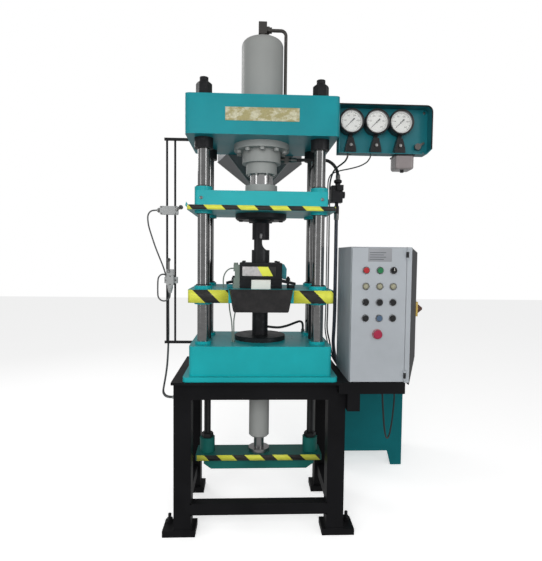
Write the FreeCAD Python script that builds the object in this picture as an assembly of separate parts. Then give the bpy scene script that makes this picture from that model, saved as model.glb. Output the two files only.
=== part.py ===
"""Four-column hydraulic press on a welded stand, with its power pack, control cabinet and gauge panel.

Millimetres. X is to the right, Y to the back (the operator stands at -Y) and Z up.
The origin is the press axis at floor level. Each function makes one named sub-part.
"""
import FreeCAD, Part
import math
import os

# ---------------------------------------------------------------- fits and clearances
RUN_FIT = 0.05        # radial clearance of a shaft in its bore
SEAT_GAP = 0.3        # face of one moving piece to the next piece's face
PASS_GAP = 2.0        # room round a piece that passes through a hole

# ---------------------------------------------------------------- columns and the three plates
COLUMN_X = 268.0
COLUMN_Y = 126.0
COLUMN_R = 27.5
COLUMN_SEAT_Z = 745.0
STUB_R = 20.0
STUB_TOP = 2111.0

CROWN_X = 344.0
CROWN_Y = 213.0
CROWN_Z = 1839.0
CROWN_TALL = 176.0
CROWN_TOP = CROWN_Z + CROWN_TALL
PLATE_CORNER = 20.0

TOP_NUT_R = 37.0
TOP_NUT_TALL = 78.0
UNDER_NUT_R = 43.0
UNDER_NUT_TALL = 47.0

BED_X = 325.0
BED_Y = 213.0
BED_Z = 735.0
BED_FLANGE = 25.0
BED_FLANGE_TALL = 22.0
BED_TALL = 157.0
BED_TOP = BED_Z + BED_TALL
COLUMN_RING_R = 38.5
COLUMN_RING_TALL = 12.0
HOSE_HOLE_X = -131.0
HOSE_HOLE_Y = -96.0
HOSE_HOLE_R = 11.0

# ---------------------------------------------------------------- main cylinder and ram
BARREL_R = 100.0
BARREL_TOP = 2303.0
DOME_TOP = 2338.0
HEAD_BLOCK_Z = 2366.0
HEAD_TOP = 2421.0
HEAD_HALF = 20.0
HEAD_PORT_Z = 2388.0
DOME_KNUCKLE = 32.0
CYLINDER_FLANGE_R = 134.0
CYLINDER_FLANGE_TALL = 30.0
NOSE_R = 93.5
NOSE_TALL = 61.0
MAIN_BORE_R = 70.0
MAIN_BORE_TOP = 2280.0
GLAND_R = 75.0
GLAND_TALL = 52.0
GLAND_SPIGOT = 42.0
RAM_R = 55.0
PISTON_TALL = 70.0
PISTON_Z = 2130.0
COLLAR_R = 78.0
COLLAR_LIP = 30.0
COLLAR_TALL = 51.0
PORT_Z = 1773.0

# ---------------------------------------------------------------- upper platen and punch
PLATEN_Y = 213.0
UPPER_BASE_X = 335.0
UPPER_BASE_Z = 1506.0
UPPER_BASE_TALL = 22.0
UPPER_BLOCK_X = 298.0
UPPER_BLOCK_TALL = 64.0
UPPER_TOP = UPPER_BASE_Z + UPPER_BASE_TALL + UPPER_BLOCK_TALL
BOSS_R = 41.5
UPPER_BOSS_UP = 25.0
BOSS_DOWN = 12.0
BUSH_R = 35.0
CAM_REACH = 22.0
CAM_TALL = 36.0
CAM_Y = -88.0

PUNCH_FLANGE_R = 125.0
PUNCH_FLANGE_TALL = 31.0
HOLDER_R = 42.0
HOLDER_TALL = 93.0
PUNCH_R = 44.0
PUNCH_TALL = 70.0
NECK_TALL = 50.0
NECK_LEFT_X = -33.0
NOTCH_R = 40.0
NOTCH_X = 46.0
NOTCH_DROP = 14.0
DIE_CLEAR = 2.0

# ---------------------------------------------------------------- die platen and what stands on it
DIE_PLATEN_X = 330.0
DIE_PLATEN_Z = 1089.0
DIE_PLATEN_TALL = 60.0
DIE_TOP = DIE_PLATEN_Z + DIE_PLATEN_TALL
DIE_BOSS_UP = 14.0
DIE_BLOCK_X = 100.0
DIE_BLOCK_Y = 120.0
DIE_BLOCK_TALL = 121.0
SLIDE_X = 45.0
SLIDE_TALL = 42.0
SLIDE_FRONT = -150.0
SLIDE_BACK = -60.0

CLAMP_LEFT_Y = -62.0
CLAMP_RIGHT_Y = -104.0

TRAY_TOP_X = 146.0
TRAY_FRONT_X = 138.0
TRAY_TAPER = 20.0
TRAY_DEEP = 47.0
TRAY_TALL = 102.0
TRAY_Z = 1053.0
TRAY_WALL = 3.0

# ---------------------------------------------------------------- lower beam, tie rods and lower cylinder
TIE_X = 258.0
TIE_R = 16.5
TIE_FOOT_Z = 285.0
TIE_SCREWED = 40.0
BEAM_X = 310.0
BEAM_Y = 62.0
BEAM_Z = 297.0
BEAM_TALL = 29.0
BEAM_TOP = BEAM_Z + BEAM_TALL
RIB_TOP_X = 272.0
RIB_FOOT_X = 236.0
RIB_Y = 45.0
RIB_TALL = 47.0
TIE_BOSS_R = 37.0
TIE_BOSS_TALL = 70.0
TIE_NUT_R = 30.0
TIE_NUT_TALL = 22.0

LOWER_BARREL_R = 50.0
LOWER_BARREL_Z = 403.0
LOWER_FLANGE_R = 85.0
LOWER_FLANGE_TALL = 25.0
LOWER_BORE_R = 40.0
LOWER_ROD_R = 25.0
LOWER_PISTON_Z = 560.0
LOWER_PISTON_TALL = 40.0
ROD_FLANGE_R = 51.5
ROD_FLANGE_TALL = 18.0

PEDESTAL_R = 39.0
PEDESTAL_DISC_R = 125.0
PEDESTAL_DISC_TALL = 23.0
LOWER_PUNCH_TOP = 1120.0

# ---------------------------------------------------------------- welded stand
STAND_X = 400.0
STAND_FRONT = -245.0
STAND_BACK = 305.0
STAND_PLATE = 12.0
TUBE = 80.0
TUBE_WALL = 6.0
LEG_X = 395.0
LEG_FRONT = -200.0
LEG_BACK = 295.0
FOOT_THICK = 30.0
FOOT_X = 152.0
FOOT_OUT_X = 447.0
FOOT_FRONT = -205.0
FOOT_BACK = 310.0
FOOT_Y = 108.0
ANCHOR_IN = 22.0
ANCHOR_R = 9.0
CROSSBAR_Z = 101.0
CROSSBAR_TALL = 54.0
CROSSBAR_WIDE = 50.0
SHELF_TALL = 52.0
SHELF_X = 658.0
SHELF_FRONT = -245.0
SHELF_BACK = 85.0
SHELF_BEAM = 50.0
GUSSET_X = 57.0
GUSSET_TALL = 80.0
GUSSET_DEEP = 95.0

# ---------------------------------------------------------------- cabinet and door
CABINET_X0 = 402.0
CABINET_X1 = 674.0
CABINET_FRONT = -245.0
CABINET_BACK = 80.0
CABINET_TALL = 614.0
CABINET_SHEET = 3.0
DOOR_X0 = 404.0
DOOR_X1 = 650.0
DOOR_DEEP = 16.0
DOOR_SKIN = 3.0
DOOR_MARGIN = 4.0
HINGE_R = 5.0
HINGE_PIN_R = 2.4
HINGE_OUT = 6.0
HINGE_TALL = 22.0
HINGE_IN = 12.0
DUCT_X = 750.0
DUCT_SHOULDER_Y = -100.0
DUCT_DROP = 22.0
DUCT_EDGE = 2.0
DUCT_CHAMFER_Z = 826.0
SWITCH_Z = 1053.0
SWITCH_BASE = 14.0
SWITCH_BASE_Y = 33.0
SWITCH_BASE_Z = 35.0
SWITCH_Y = -55.0
SWITCH_STEM_R = 6.0

BUTTON_R = 13.0
STEM_R = 11.2
BUTTON_TRAVEL = 4.0
BUTTON_CAP = 8.0
STOP_R = 20.0
STEM_LONG = 22.0
COLUMN_1 = 467.0
COLUMN_2 = 530.0
COLUMN_3 = 591.0
ROW_1 = 1244.0
ROW_2 = 1172.0
ROW_3 = 1101.0
ROW_4 = 1029.0
STOP_X = 523.0
STOP_Z = 957.0

# ---------------------------------------------------------------- gauge panel
PANEL_X0 = 350.0
PANEL_X1 = 784.0
PANEL_Z0 = 1780.0
PANEL_Z1 = 2002.0
PANEL_FACE = -100.0
PANEL_HOOD = 60.0
PANEL_SHEET = 3.0
PANEL_ROUND = 28.0
PANEL_CHAMFER = 24.0
GAUGE_X = (410.0, 529.0, 642.0)
GAUGE_Z = 1927.0
GAUGE_R = 56.0
GAUGE_DEEP = 50.0
DIAL_R = 50.0
DIAL_SUNK = 12.0
VALVE_Z = 1790.0
VALVE_TALL = 66.0
VALVE_DEEP = 34.0
PUSH_R = 6.0
PUSH_Z = 1822.0
LEVER_X = 732.0
LEVER_Z = 1824.0
BOWL_X0 = 617.0
BOWL_X1 = 705.0
BOWL_Y0 = -152.0
BOWL_Y1 = -64.0
BOWL_TALL = 68.0
BOWL_WALL = 4.0

# ---------------------------------------------------------------- limit-switch rail
RAIL_X = (-447.0, -409.0)
RAIL_Y = -60.0
RAIL_R = 5.0
RAIL_Z0 = 884.0
RAIL_Z1 = 1847.0
BAR_TALL = 12.0
SWITCH_FRONT = -90.0
SWITCH_BACK = -68.0
UPPER_SWITCH_Z = 1512.0
LOWER_SWITCH_Z = 1183.0
CABLE_R = 3.5

# ---------------------------------------------------------------- tank, motor and manifold
TANK_X0 = 452.0
TANK_X1 = 908.0
TANK_FRONT = 528.0
TANK_BACK = 900.0
TANK_Z = 90.0
TANK_TOP = 450.0
TANK_SHEET = 5.0
TANK_LEG_TOP = 92.0
TANK_LEG_FOOT = 68.0
LID_THICK = 8.0
MOTOR_X = 705.0
MOTOR_Y = 735.0
MOTOR_R = 88.0
MOTOR_TALL = 230.0
PUMP_R = 60.0
MANIFOLD_X = 572.0
MANIFOLD_Y = 640.0
MANIFOLD_TALL = 100.0

# ---------------------------------------------------------------- hopper behind the ram
HOPPER_TOP_X0 = 178.0
HOPPER_TOP_X1 = 245.0
HOPPER_DEEP = 240.0
HOPPER_SHEET = 3.0
HOPPER_RIM_Z = 1960.0
HOPPER_KNEE_Z = 1845.0
HOPPER_MOUTH_Z = 1690.0
HOPPER_NECK_R = 30.0
HOPPER_NECK_TALL = 50.0
HOPPER_NECK_Y = 300.0

UP = FreeCAD.Vector(0, 0, 1)
RIGHT = FreeCAD.Vector(1, 0, 0)
BACK = FreeCAD.Vector(0, 1, 0)
CORNERS = [(sx, sy) for sx in (-1, 1) for sy in (-1, 1)]


# ================================================================ helpers
def vec(x, y, z):
    return FreeCAD.Vector(x, y, z)


def box(x0, x1, y0, y1, z0, z1):
    """A block between six faces."""
    return Part.makeBox(x1 - x0, y1 - y0, z1 - z0, vec(x0, y0, z0))


def post(r, z0, z1, x=0.0, y=0.0):
    """An upright cylinder."""
    return Part.makeCylinder(r, z1 - z0, vec(x, y, z0), UP)


def bar_x(r, x0, x1, y, z):
    """A cylinder along X."""
    return Part.makeCylinder(r, x1 - x0, vec(x0, y, z), RIGHT)


def bar_y(r, y0, y1, x, z):
    """A cylinder along Y."""
    return Part.makeCylinder(r, y1 - y0, vec(x, y0, z), BACK)


def pipe_wall(r_out, r_in, z0, z1, x=0.0, y=0.0):
    """An upright ring or sleeve."""
    return post(r_out, z0, z1, x, y).cut(post(r_in, z0 - 1, z1 + 1, x, y))


def vertical_edges(shape):
    """The straight edges of a shape that stand upright."""
    found = []
    for edge in shape.Edges:
        ends = edge.Vertexes
        if len(ends) == 2 and abs(ends[0].X - ends[1].X) + abs(ends[0].Y - ends[1].Y) < 1e-6:
            found.append(edge)
    return found


def slab(x0, x1, y0, y1, z0, z1, corner):
    """A block with rounded upright corners."""
    block = box(x0, x1, y0, y1, z0, z1)
    return block.makeFillet(corner, vertical_edges(block))


def prism(points, along):
    """A flat outline carried along a vector."""
    closed = [vec(*p) for p in points]
    face = Part.Face(Part.makePolygon(closed + closed[:1]))
    return face.extrude(vec(*along))


def turned(profile, x=0.0, y=0.0):
    """A solid of revolution about the upright axis at x, y from (radius, height) points."""
    closed = [vec(x + r, y, z) for r, z in profile]
    face = Part.Face(Part.makePolygon(closed + closed[:1]))
    return face.revolve(vec(x, y, 0), UP, 360)


def cut_all(shape, tools):
    for tool in tools:
        shape = shape.cut(tool)
    return shape


def fuse_all(shapes):
    whole = shapes[0]
    for other in shapes[1:]:
        whole = whole.fuse(other)
    return whole.removeSplitter()


def at_columns(make):
    """One solid at each of the four columns."""
    return [make(sx * COLUMN_X, sy * COLUMN_Y) for sx, sy in CORNERS]


def bend_radius(before, corner, after):
    """The arc that two runs leave room for, and half the turn between them."""
    run_in = corner - before
    run_out = after - corner
    turn = run_in.getAngle(run_out)
    shorter = min(run_in.Length, run_out.Length)
    return 0.45 * shorter / math.tan(turn / 2), turn


def route(name, points, r, report=True):
    """A round tube along straight runs joined by tangent arcs."""
    places = [vec(*p) for p in points]
    edges = []
    start = places[0]
    tightest = None
    length = 0.0
    for before, corner, after in zip(places, places[1:], places[2:]):
        radius, turn = bend_radius(before, corner, after)
        reach = radius * math.tan(turn / 2)
        toward = (before - corner).normalize()
        onward = (after - corner).normalize()
        first = corner + toward * reach
        last = corner + onward * reach
        half = (toward + onward).normalize()
        centre = corner + half * (radius / math.cos(turn / 2))
        middle = centre - half * radius
        edges.append(Part.LineSegment(start, first).toShape())
        edges.append(Part.Arc(first, middle, last).toShape())
        length += (first - start).Length + radius * turn
        start = last
        tightest = radius if tightest is None else min(tightest, radius)
    edges.append(Part.LineSegment(start, places[-1]).toShape())
    length += (places[-1] - start).Length
    wire = Part.Wire(edges)
    along = (places[1] - places[0]).normalize()
    circle = Part.Wire([Part.Circle(places[0], along, r).toShape()])
    tube = wire.makePipeShell([circle], True, False)
    if report:
        wanted = math.pi * r * r * length
        print(f"{name}: length {length:.0f}, tightest radius {tightest:.0f}, volume ratio {tube.Volume / wanted:.4f}")
    return tube


def save(name, *solids):
    """Writes one sub-part, which may be a group of separate solids."""
    shape = solids[0] if len(solids) == 1 else Part.makeCompound(list(solids))
    shape.exportStep(f"parts/{name}.step")


# ================================================================ stand
def square_tube(x0, x1, y0, y1, z0, z1, axis):
    """A square or flat tube with open ends along one axis."""
    w = TUBE_WALL
    grow = {"x": (0, w, w), "y": (w, 0, w), "z": (w, w, 0)}[axis]
    inner = box(x0 + grow[0], x1 - grow[0], y0 + grow[1], y1 - grow[1], z0 + grow[2], z1 - grow[2])
    return box(x0, x1, y0, y1, z0, z1).cut(inner)


def stand_top_plate():
    plate = box(-STAND_X, STAND_X, STAND_FRONT, STAND_BACK, BED_Z - STAND_PLATE, BED_Z)
    holes = [post(LOWER_FLANGE_R + PASS_GAP, BED_Z - STAND_PLATE - 1, BED_Z + 1)]
    for side in (-1, 1):
        holes.append(post(TIE_R + 2 * PASS_GAP, BED_Z - STAND_PLATE - 1, BED_Z + 1, side * TIE_X, 0))
    holes.append(post(HOSE_HOLE_R, BED_Z - STAND_PLATE - 1, BED_Z + 1, HOSE_HOLE_X, HOSE_HOLE_Y))
    return cut_all(plate, holes)


def foot_plate(side, front):
    x0, x1 = sorted((side * FOOT_OUT_X, side * (FOOT_OUT_X - FOOT_X)))
    y0 = FOOT_FRONT if front else FOOT_BACK - FOOT_Y
    plate = box(x0, x1, y0, y0 + FOOT_Y, 0, FOOT_THICK)
    hole_x = side * (FOOT_OUT_X - ANCHOR_IN)
    hole_y = y0 + FOOT_Y - ANCHOR_IN if front else y0 + ANCHOR_IN
    return plate.cut(post(ANCHOR_R, -1, FOOT_THICK + 1, hole_x, hole_y))


def stand_frame():
    rail_top = BED_Z - STAND_PLATE
    rail_z = rail_top - TUBE
    parts = [stand_top_plate()]
    for side in (-1, 1):
        x0, x1 = sorted((side * LEG_X, side * (LEG_X - TUBE)))
        for front in (True, False):
            y0 = LEG_FRONT if front else LEG_BACK - TUBE
            parts.append(square_tube(x0, x1, y0, y0 + TUBE, FOOT_THICK, rail_top, "z"))
            parts.append(foot_plate(side, front))
        parts.append(square_tube(x0, x1, LEG_FRONT + TUBE, LEG_BACK - TUBE, rail_z, rail_top, "y"))
        middle = side * (LEG_X - TUBE / 2)
        half = CROSSBAR_WIDE / 2
        parts.append(square_tube(middle - half, middle + half, LEG_FRONT + TUBE, LEG_BACK - TUBE,
                                 CROSSBAR_Z, CROSSBAR_Z + CROSSBAR_TALL, "y"))
    inner = LEG_X - TUBE
    parts.append(square_tube(-inner, inner, LEG_FRONT, LEG_FRONT + TUBE, rail_z, rail_top, "x"))
    parts.append(square_tube(-inner, inner, LEG_BACK - TUBE, LEG_BACK, rail_z, rail_top, "x"))
    parts.append(square_tube(-inner, inner, LEG_FRONT, LEG_FRONT + CROSSBAR_WIDE,
                             CROSSBAR_Z, CROSSBAR_Z + CROSSBAR_TALL, "x"))
    return parts + shelf()


def shelf():
    """The black beams on the right of the stand that carry the cabinet."""
    z0 = BED_Z - SHELF_TALL
    deck_z = BED_Z - STAND_PLATE
    front = square_tube(LEG_X - TUBE / 2, SHELF_X, SHELF_FRONT, LEG_FRONT, z0, deck_z, "x")
    rear = square_tube(LEG_X, SHELF_X, SHELF_BACK - SHELF_BEAM, SHELF_BACK, z0, deck_z, "x")
    deck = box(STAND_X, SHELF_X, SHELF_FRONT, SHELF_BACK, deck_z, BED_Z)
    bracket = square_tube(LEG_X, LEG_X + GUSSET_X, SHELF_FRONT, SHELF_FRONT + GUSSET_DEEP, z0 - GUSSET_TALL, z0, "z")
    prop = square_tube(LEG_X, LEG_X + GUSSET_X, LEG_FRONT, LEG_FRONT + TUBE, z0, deck_z, "x")
    end = box(SHELF_X - TUBE_WALL, SHELF_X, LEG_FRONT, SHELF_BACK - SHELF_BEAM, z0, deck_z)
    return [front, rear, deck, bracket, prop, end]


# ================================================================ press frame
def bed():
    flange_top = BED_Z + BED_FLANGE_TALL
    wide_x = BED_X + BED_FLANGE
    wide_y = BED_Y + BED_FLANGE
    parts = [slab(-wide_x, wide_x, -wide_y, wide_y, BED_Z, flange_top, PLATE_CORNER)]
    parts.append(slab(-BED_X, BED_X, -BED_Y, BED_Y, flange_top, BED_TOP, PLATE_CORNER))
    parts += at_columns(lambda x, y: post(COLUMN_RING_R, BED_TOP, BED_TOP + COLUMN_RING_TALL, x, y))
    holes = at_columns(lambda x, y: post(COLUMN_R + RUN_FIT, COLUMN_SEAT_Z, BED_TOP + 50, x, y))
    for side in (-1, 1):
        holes.append(post(TIE_R + RUN_FIT, BED_Z - 1, BED_TOP + 1, side * TIE_X, 0))
    holes.append(post(HOSE_HOLE_R, BED_Z - 1, BED_TOP + 1, HOSE_HOLE_X, HOSE_HOLE_Y))
    return cut_all(fuse_all(parts), holes)


def columns():
    """Four chromed columns, each turned down to a stub above the crown."""
    return at_columns(lambda x, y: post(COLUMN_R, COLUMN_SEAT_Z, CROWN_TOP, x, y).fuse(
        post(STUB_R, CROWN_TOP, STUB_TOP, x, y)).removeSplitter())


def hexagon_nut(r, bore, z0, z1, x, y):
    """A hexagonal nut with a chamfered top, r being its corner radius."""
    points = []
    for k in range(6):
        angle = math.radians(60 * k)
        points.append((x + r * math.cos(angle), y + r * math.sin(angle), z0))
    nut = prism(points, (0, 0, z1 - z0))
    tall = z1 - z0
    cone = turned([(0, z0), (r, z0), (r, z1 - 0.16 * tall), (r - 0.2 * tall, z1), (0, z1)], x, y)
    return nut.common(cone).cut(post(bore, z0 - 1, z1 + 1, x, y))


def column_nuts():
    upper = at_columns(lambda x, y: hexagon_nut(
        TOP_NUT_R, STUB_R + RUN_FIT, CROWN_TOP, CROWN_TOP + TOP_NUT_TALL, x, y))
    lower = at_columns(lambda x, y: pipe_wall(
        UNDER_NUT_R, COLUMN_R + RUN_FIT, CROWN_Z - UNDER_NUT_TALL, CROWN_Z, x, y))
    return upper + lower


def crown():
    block = slab(-CROWN_X, CROWN_X, -CROWN_Y, CROWN_Y, CROWN_Z, CROWN_TOP, PLATE_CORNER)
    holes = at_columns(lambda x, y: post(COLUMN_R + RUN_FIT, CROWN_Z - 1, CROWN_TOP + 1, x, y))
    holes.append(post(BARREL_R + RUN_FIT, CROWN_Z - 1, CROWN_TOP + 1))
    return cut_all(block, holes)


def main_cylinder():
    """The barrel with its flange under the crown, its nose ring and its domed head."""
    nose_z = CROWN_Z - CYLINDER_FLANGE_TALL - NOSE_TALL
    flange_z = CROWN_Z - CYLINDER_FLANGE_TALL
    line = [vec(MAIN_BORE_R, 0, nose_z), vec(NOSE_R, 0, nose_z), vec(NOSE_R, 0, flange_z)]
    line += [vec(CYLINDER_FLANGE_R, 0, flange_z), vec(CYLINDER_FLANGE_R, 0, CROWN_Z)]
    line += [vec(BARREL_R, 0, CROWN_Z), vec(BARREL_R, 0, BARREL_TOP)]
    edges = [Part.LineSegment(a, b).toShape() for a, b in zip(line, line[1:])]
    foot, bend, crest, centre_z = dome_points()
    edges.append(Part.Arc(line[-1], foot, bend).toShape())
    dome_end = vec(0.001, 0, DOME_TOP)
    edges.append(Part.Arc(bend, crest, dome_end).toShape())
    rest = [dome_end, vec(0.001, 0, MAIN_BORE_TOP), vec(MAIN_BORE_R, 0, MAIN_BORE_TOP), line[0]]
    edges += [Part.LineSegment(a, b).toShape() for a, b in zip(rest, rest[1:])]
    shell = Part.Face(Part.Wire(edges)).revolve(vec(0, 0, 0), UP, 360)
    return shell.fuse(post(0.5, MAIN_BORE_TOP, DOME_TOP - 0.01)).removeSplitter()


def dome_points():
    """Points on the head's outline, a small knuckle arc and a large crown arc, and the crown arc's centre."""
    rise = DOME_TOP - BARREL_TOP
    k = DOME_KNUCKLE
    flat = BARREL_R - k
    crown_r = (flat * flat + rise * rise - k * k) / (2 * (rise - k))
    centre_z = DOME_TOP - crown_r
    lean = math.atan2(flat, BARREL_TOP - centre_z)
    half = (math.pi / 2 - lean) / 2
    knuckle_mid = vec(flat + k * math.cos(half), 0, BARREL_TOP + k * math.sin(half))
    bend = vec(crown_r * math.sin(lean), 0, centre_z + crown_r * math.cos(lean))
    crest = vec(crown_r * math.sin(lean / 2), 0, centre_z + crown_r * math.cos(lean / 2))
    return knuckle_mid, bend, crest, centre_z


def cylinder_gland():
    nose_z = CROWN_Z - CYLINDER_FLANGE_TALL - NOSE_TALL
    flange = post(GLAND_R, nose_z - GLAND_TALL, nose_z)
    spigot = post(MAIN_BORE_R - RUN_FIT, nose_z, nose_z + GLAND_SPIGOT)
    bore = post(RAM_R + RUN_FIT, nose_z - GLAND_TALL - 1, nose_z + GLAND_SPIGOT + 1)
    return flange.fuse(spigot).cut(bore).removeSplitter()


def lower_pedestal():
    """The fixed lower punch on its disc on the bed."""
    disc = post(PEDESTAL_DISC_R, BED_TOP, BED_TOP + PEDESTAL_DISC_TALL)
    stem = post(PEDESTAL_R, BED_TOP + PEDESTAL_DISC_TALL, LOWER_PUNCH_TOP)
    return disc.makeChamfer(3, disc.Edges[:1]).fuse(stem).removeSplitter()


# ================================================================ ram and upper platen
def main_ram():
    rod = post(RAM_R, UPPER_TOP, PISTON_Z)
    piston = post(MAIN_BORE_R - RUN_FIT, PISTON_Z, PISTON_Z + PISTON_TALL)
    return rod.fuse(piston).removeSplitter()


def ram_collar():
    """The split collar that bolts the ram to the platen, with a thicker upper lip."""
    body = post(COLLAR_R - 4, UPPER_TOP, UPPER_TOP + COLLAR_TALL)
    lip = post(COLLAR_R, UPPER_TOP + COLLAR_TALL - COLLAR_LIP, UPPER_TOP + COLLAR_TALL)
    bore = post(RAM_R + RUN_FIT, UPPER_TOP - 1, UPPER_TOP + COLLAR_TALL + 1)
    return body.fuse(lip).cut(bore).removeSplitter()


def upper_platen():
    base_top = UPPER_BASE_Z + UPPER_BASE_TALL
    parts = [slab(-UPPER_BASE_X, UPPER_BASE_X, -PLATEN_Y, PLATEN_Y, UPPER_BASE_Z, base_top, PLATE_CORNER)]
    parts.append(slab(-UPPER_BLOCK_X, UPPER_BLOCK_X, -PLATEN_Y, PLATEN_Y, base_top, UPPER_TOP, PLATE_CORNER / 2))
    parts += at_columns(lambda x, y: post(BOSS_R, UPPER_BASE_Z - BOSS_DOWN, UPPER_TOP + UPPER_BOSS_UP, x, y))
    holes = at_columns(lambda x, y: post(BUSH_R, UPPER_BASE_Z - 50, UPPER_TOP + 50, x, y))
    body = cut_all(fuse_all(parts), holes)
    cam_z = UPPER_BASE_Z + UPPER_BASE_TALL / 2
    left = -UPPER_BASE_X
    cam = prism([(left, CAM_Y - 8, cam_z - 5), (left - CAM_REACH, CAM_Y - 8, cam_z + CAM_TALL * 0.5),
                 (left - CAM_REACH + 4, CAM_Y - 8, cam_z + CAM_TALL), (left, CAM_Y - 8, cam_z + 5)], (0, 14, 0))
    return body.fuse(cam).removeSplitter()


def bushes(z0, z1):
    """Guide bushes that slide on the columns."""
    return at_columns(lambda x, y: pipe_wall(BUSH_R, COLUMN_R + RUN_FIT, z0, z1, x, y))


def punch_adaptor():
    """The wide flange under the platen and the punch holder below it."""
    z1 = UPPER_BASE_Z
    z0 = z1 - PUNCH_FLANGE_TALL
    foot = z0 - HOLDER_TALL
    r = PUNCH_FLANGE_R
    return turned([(0, z1), (r, z1), (r, z0 + 9), (r - 9, z0), (HOLDER_R + 14, z0),
                   (HOLDER_R, z0 - 12), (HOLDER_R, foot), (0, foot)])


def upper_punch():
    """The punch block below a neck that is milled flat on its left and hollowed on its right."""
    neck_top = UPPER_BASE_Z - PUNCH_FLANGE_TALL - HOLDER_TALL
    neck_z = neck_top - NECK_TALL
    block = post(PUNCH_R, neck_z - PUNCH_TALL, neck_z)
    neck = post(HOLDER_R, neck_z, neck_top)
    right = bar_y(NOTCH_R, -60, 60, NOTCH_X, neck_top - NOTCH_DROP)
    step = box(NOTCH_X - NOTCH_R, 60, -60, 60, neck_top - NOTCH_DROP, neck_top + 1)
    left = box(-60, NECK_LEFT_X, -60, 60, neck_z, neck_top + 1)
    return block.fuse(cut_all(neck, [right, step, left])).removeSplitter()


# ================================================================ die platen and tooling
def die_platen():
    x = DIE_PLATEN_X
    parts = [slab(-x, x, -PLATEN_Y, PLATEN_Y, DIE_PLATEN_Z, DIE_TOP, PLATE_CORNER)]
    parts += at_columns(lambda cx, cy: post(BOSS_R, DIE_PLATEN_Z - BOSS_DOWN, DIE_TOP + DIE_BOSS_UP, cx, cy))
    holes = at_columns(lambda cx, cy: post(BUSH_R, DIE_PLATEN_Z - 50, DIE_TOP + 50, cx, cy))
    holes.append(post(PUNCH_R + DIE_CLEAR, DIE_PLATEN_Z - 1, DIE_TOP + 1))
    for side in (-1, 1):
        holes.append(post(TIE_R + RUN_FIT, DIE_PLATEN_Z - 1, DIE_PLATEN_Z + TIE_SCREWED, side * TIE_X, 0))
    return cut_all(fuse_all(parts), holes)


def die_block():
    """The block that holds the die, with the slide block's slot in its front."""
    top = DIE_TOP + DIE_BLOCK_TALL
    block = box(-DIE_BLOCK_X, DIE_BLOCK_X, -DIE_BLOCK_Y, DIE_BLOCK_Y, DIE_TOP, top)
    block = block.makeFillet(8, vertical_edges(block))
    bore = post(PUNCH_R + DIE_CLEAR, DIE_TOP - 1, top + 1)
    slot = box(-SLIDE_X - SEAT_GAP, SLIDE_X + SEAT_GAP, -DIE_BLOCK_Y - 1, -PUNCH_R / 2,
               DIE_TOP - 1, DIE_TOP + SLIDE_TALL + 2 * SEAT_GAP)
    ledge = box(-DIE_BLOCK_X - 1, DIE_BLOCK_X + 1, -DIE_BLOCK_Y - 1, -DIE_BLOCK_Y + 8,
                DIE_TOP + 6, DIE_TOP + SLIDE_TALL + 4)
    return cut_all(block, [bore, slot, ledge])


def slide_block():
    """The sliding block that pushes a finished pressing out to the tray."""
    z0 = DIE_TOP + SEAT_GAP
    block = box(-SLIDE_X, SLIDE_X, SLIDE_FRONT, SLIDE_BACK, z0, z0 + SLIDE_TALL)
    return block.makeFillet(3, vertical_edges(block))


def tray_solid(inset, top_z, z0, y_front, y_back):
    """A hopper-like solid, narrower at its foot and at its front; inset draws its sides in."""
    def ring(z, front_x, back_x):
        points = [vec(-front_x, y_front, z), vec(front_x, y_front, z), vec(back_x, y_back, z), vec(-back_x, y_back, z)]
        return Part.makePolygon(points + points[:1])
    low = ring(z0, TRAY_FRONT_X - TRAY_TAPER - inset, TRAY_TOP_X - TRAY_TAPER - inset)
    high = ring(top_z, TRAY_FRONT_X - inset, TRAY_TOP_X - inset)
    return Part.makeLoft([low, high], True, True)


def chute_tray():
    """The open-topped tray hooked on the front of the die platen."""
    back = -PLATEN_Y
    front = back - TRAY_DEEP
    top = TRAY_Z + TRAY_TALL
    w = TRAY_WALL
    outer = tray_solid(0, top, TRAY_Z, front, back)
    inner = tray_solid(w, top + 1, TRAY_Z + w, front + w, back - w)
    tray = outer.cut(inner)
    wall_cut = box(-TRAY_TOP_X - 1, TRAY_TOP_X + 1, back - w - 1, back + 1, DIE_TOP, top + 5)
    return tray.cut(wall_cut)


def die_clamps():
    """A strap clamp with its heel block and screw on each side of the die block, and the right-hand guard."""
    parts = []
    for side, y in ((-1, CLAMP_LEFT_Y), (1, CLAMP_RIGHT_Y)):
        inner = DIE_BLOCK_X * side
        heel_x0, heel_x1 = sorted((inner + side * 34, inner + side * 62))
        parts.append(box(heel_x0, heel_x1, y + 1, y + 27, DIE_TOP, DIE_TOP + 16))
        strap = [(inner, y, DIE_TOP + 28), (inner + side * 66, y, DIE_TOP + 16),
                 (inner + side * 66, y, DIE_TOP + 28), (inner, y, DIE_TOP + 44)]
        parts.append(prism(strap, (0, 28, 0)))
    x0 = DIE_BLOCK_X
    guard = [(x0, -60, DIE_TOP + 46), (x0 + 24, -60, DIE_TOP + 40), (x0 + 26, -60, DIE_TOP + 92),
             (x0 + 14, -60, DIE_TOP + 114), (x0, -60, DIE_TOP + 119)]
    parts.append(prism(guard, (0, 110, 0)))
    return parts


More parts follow.
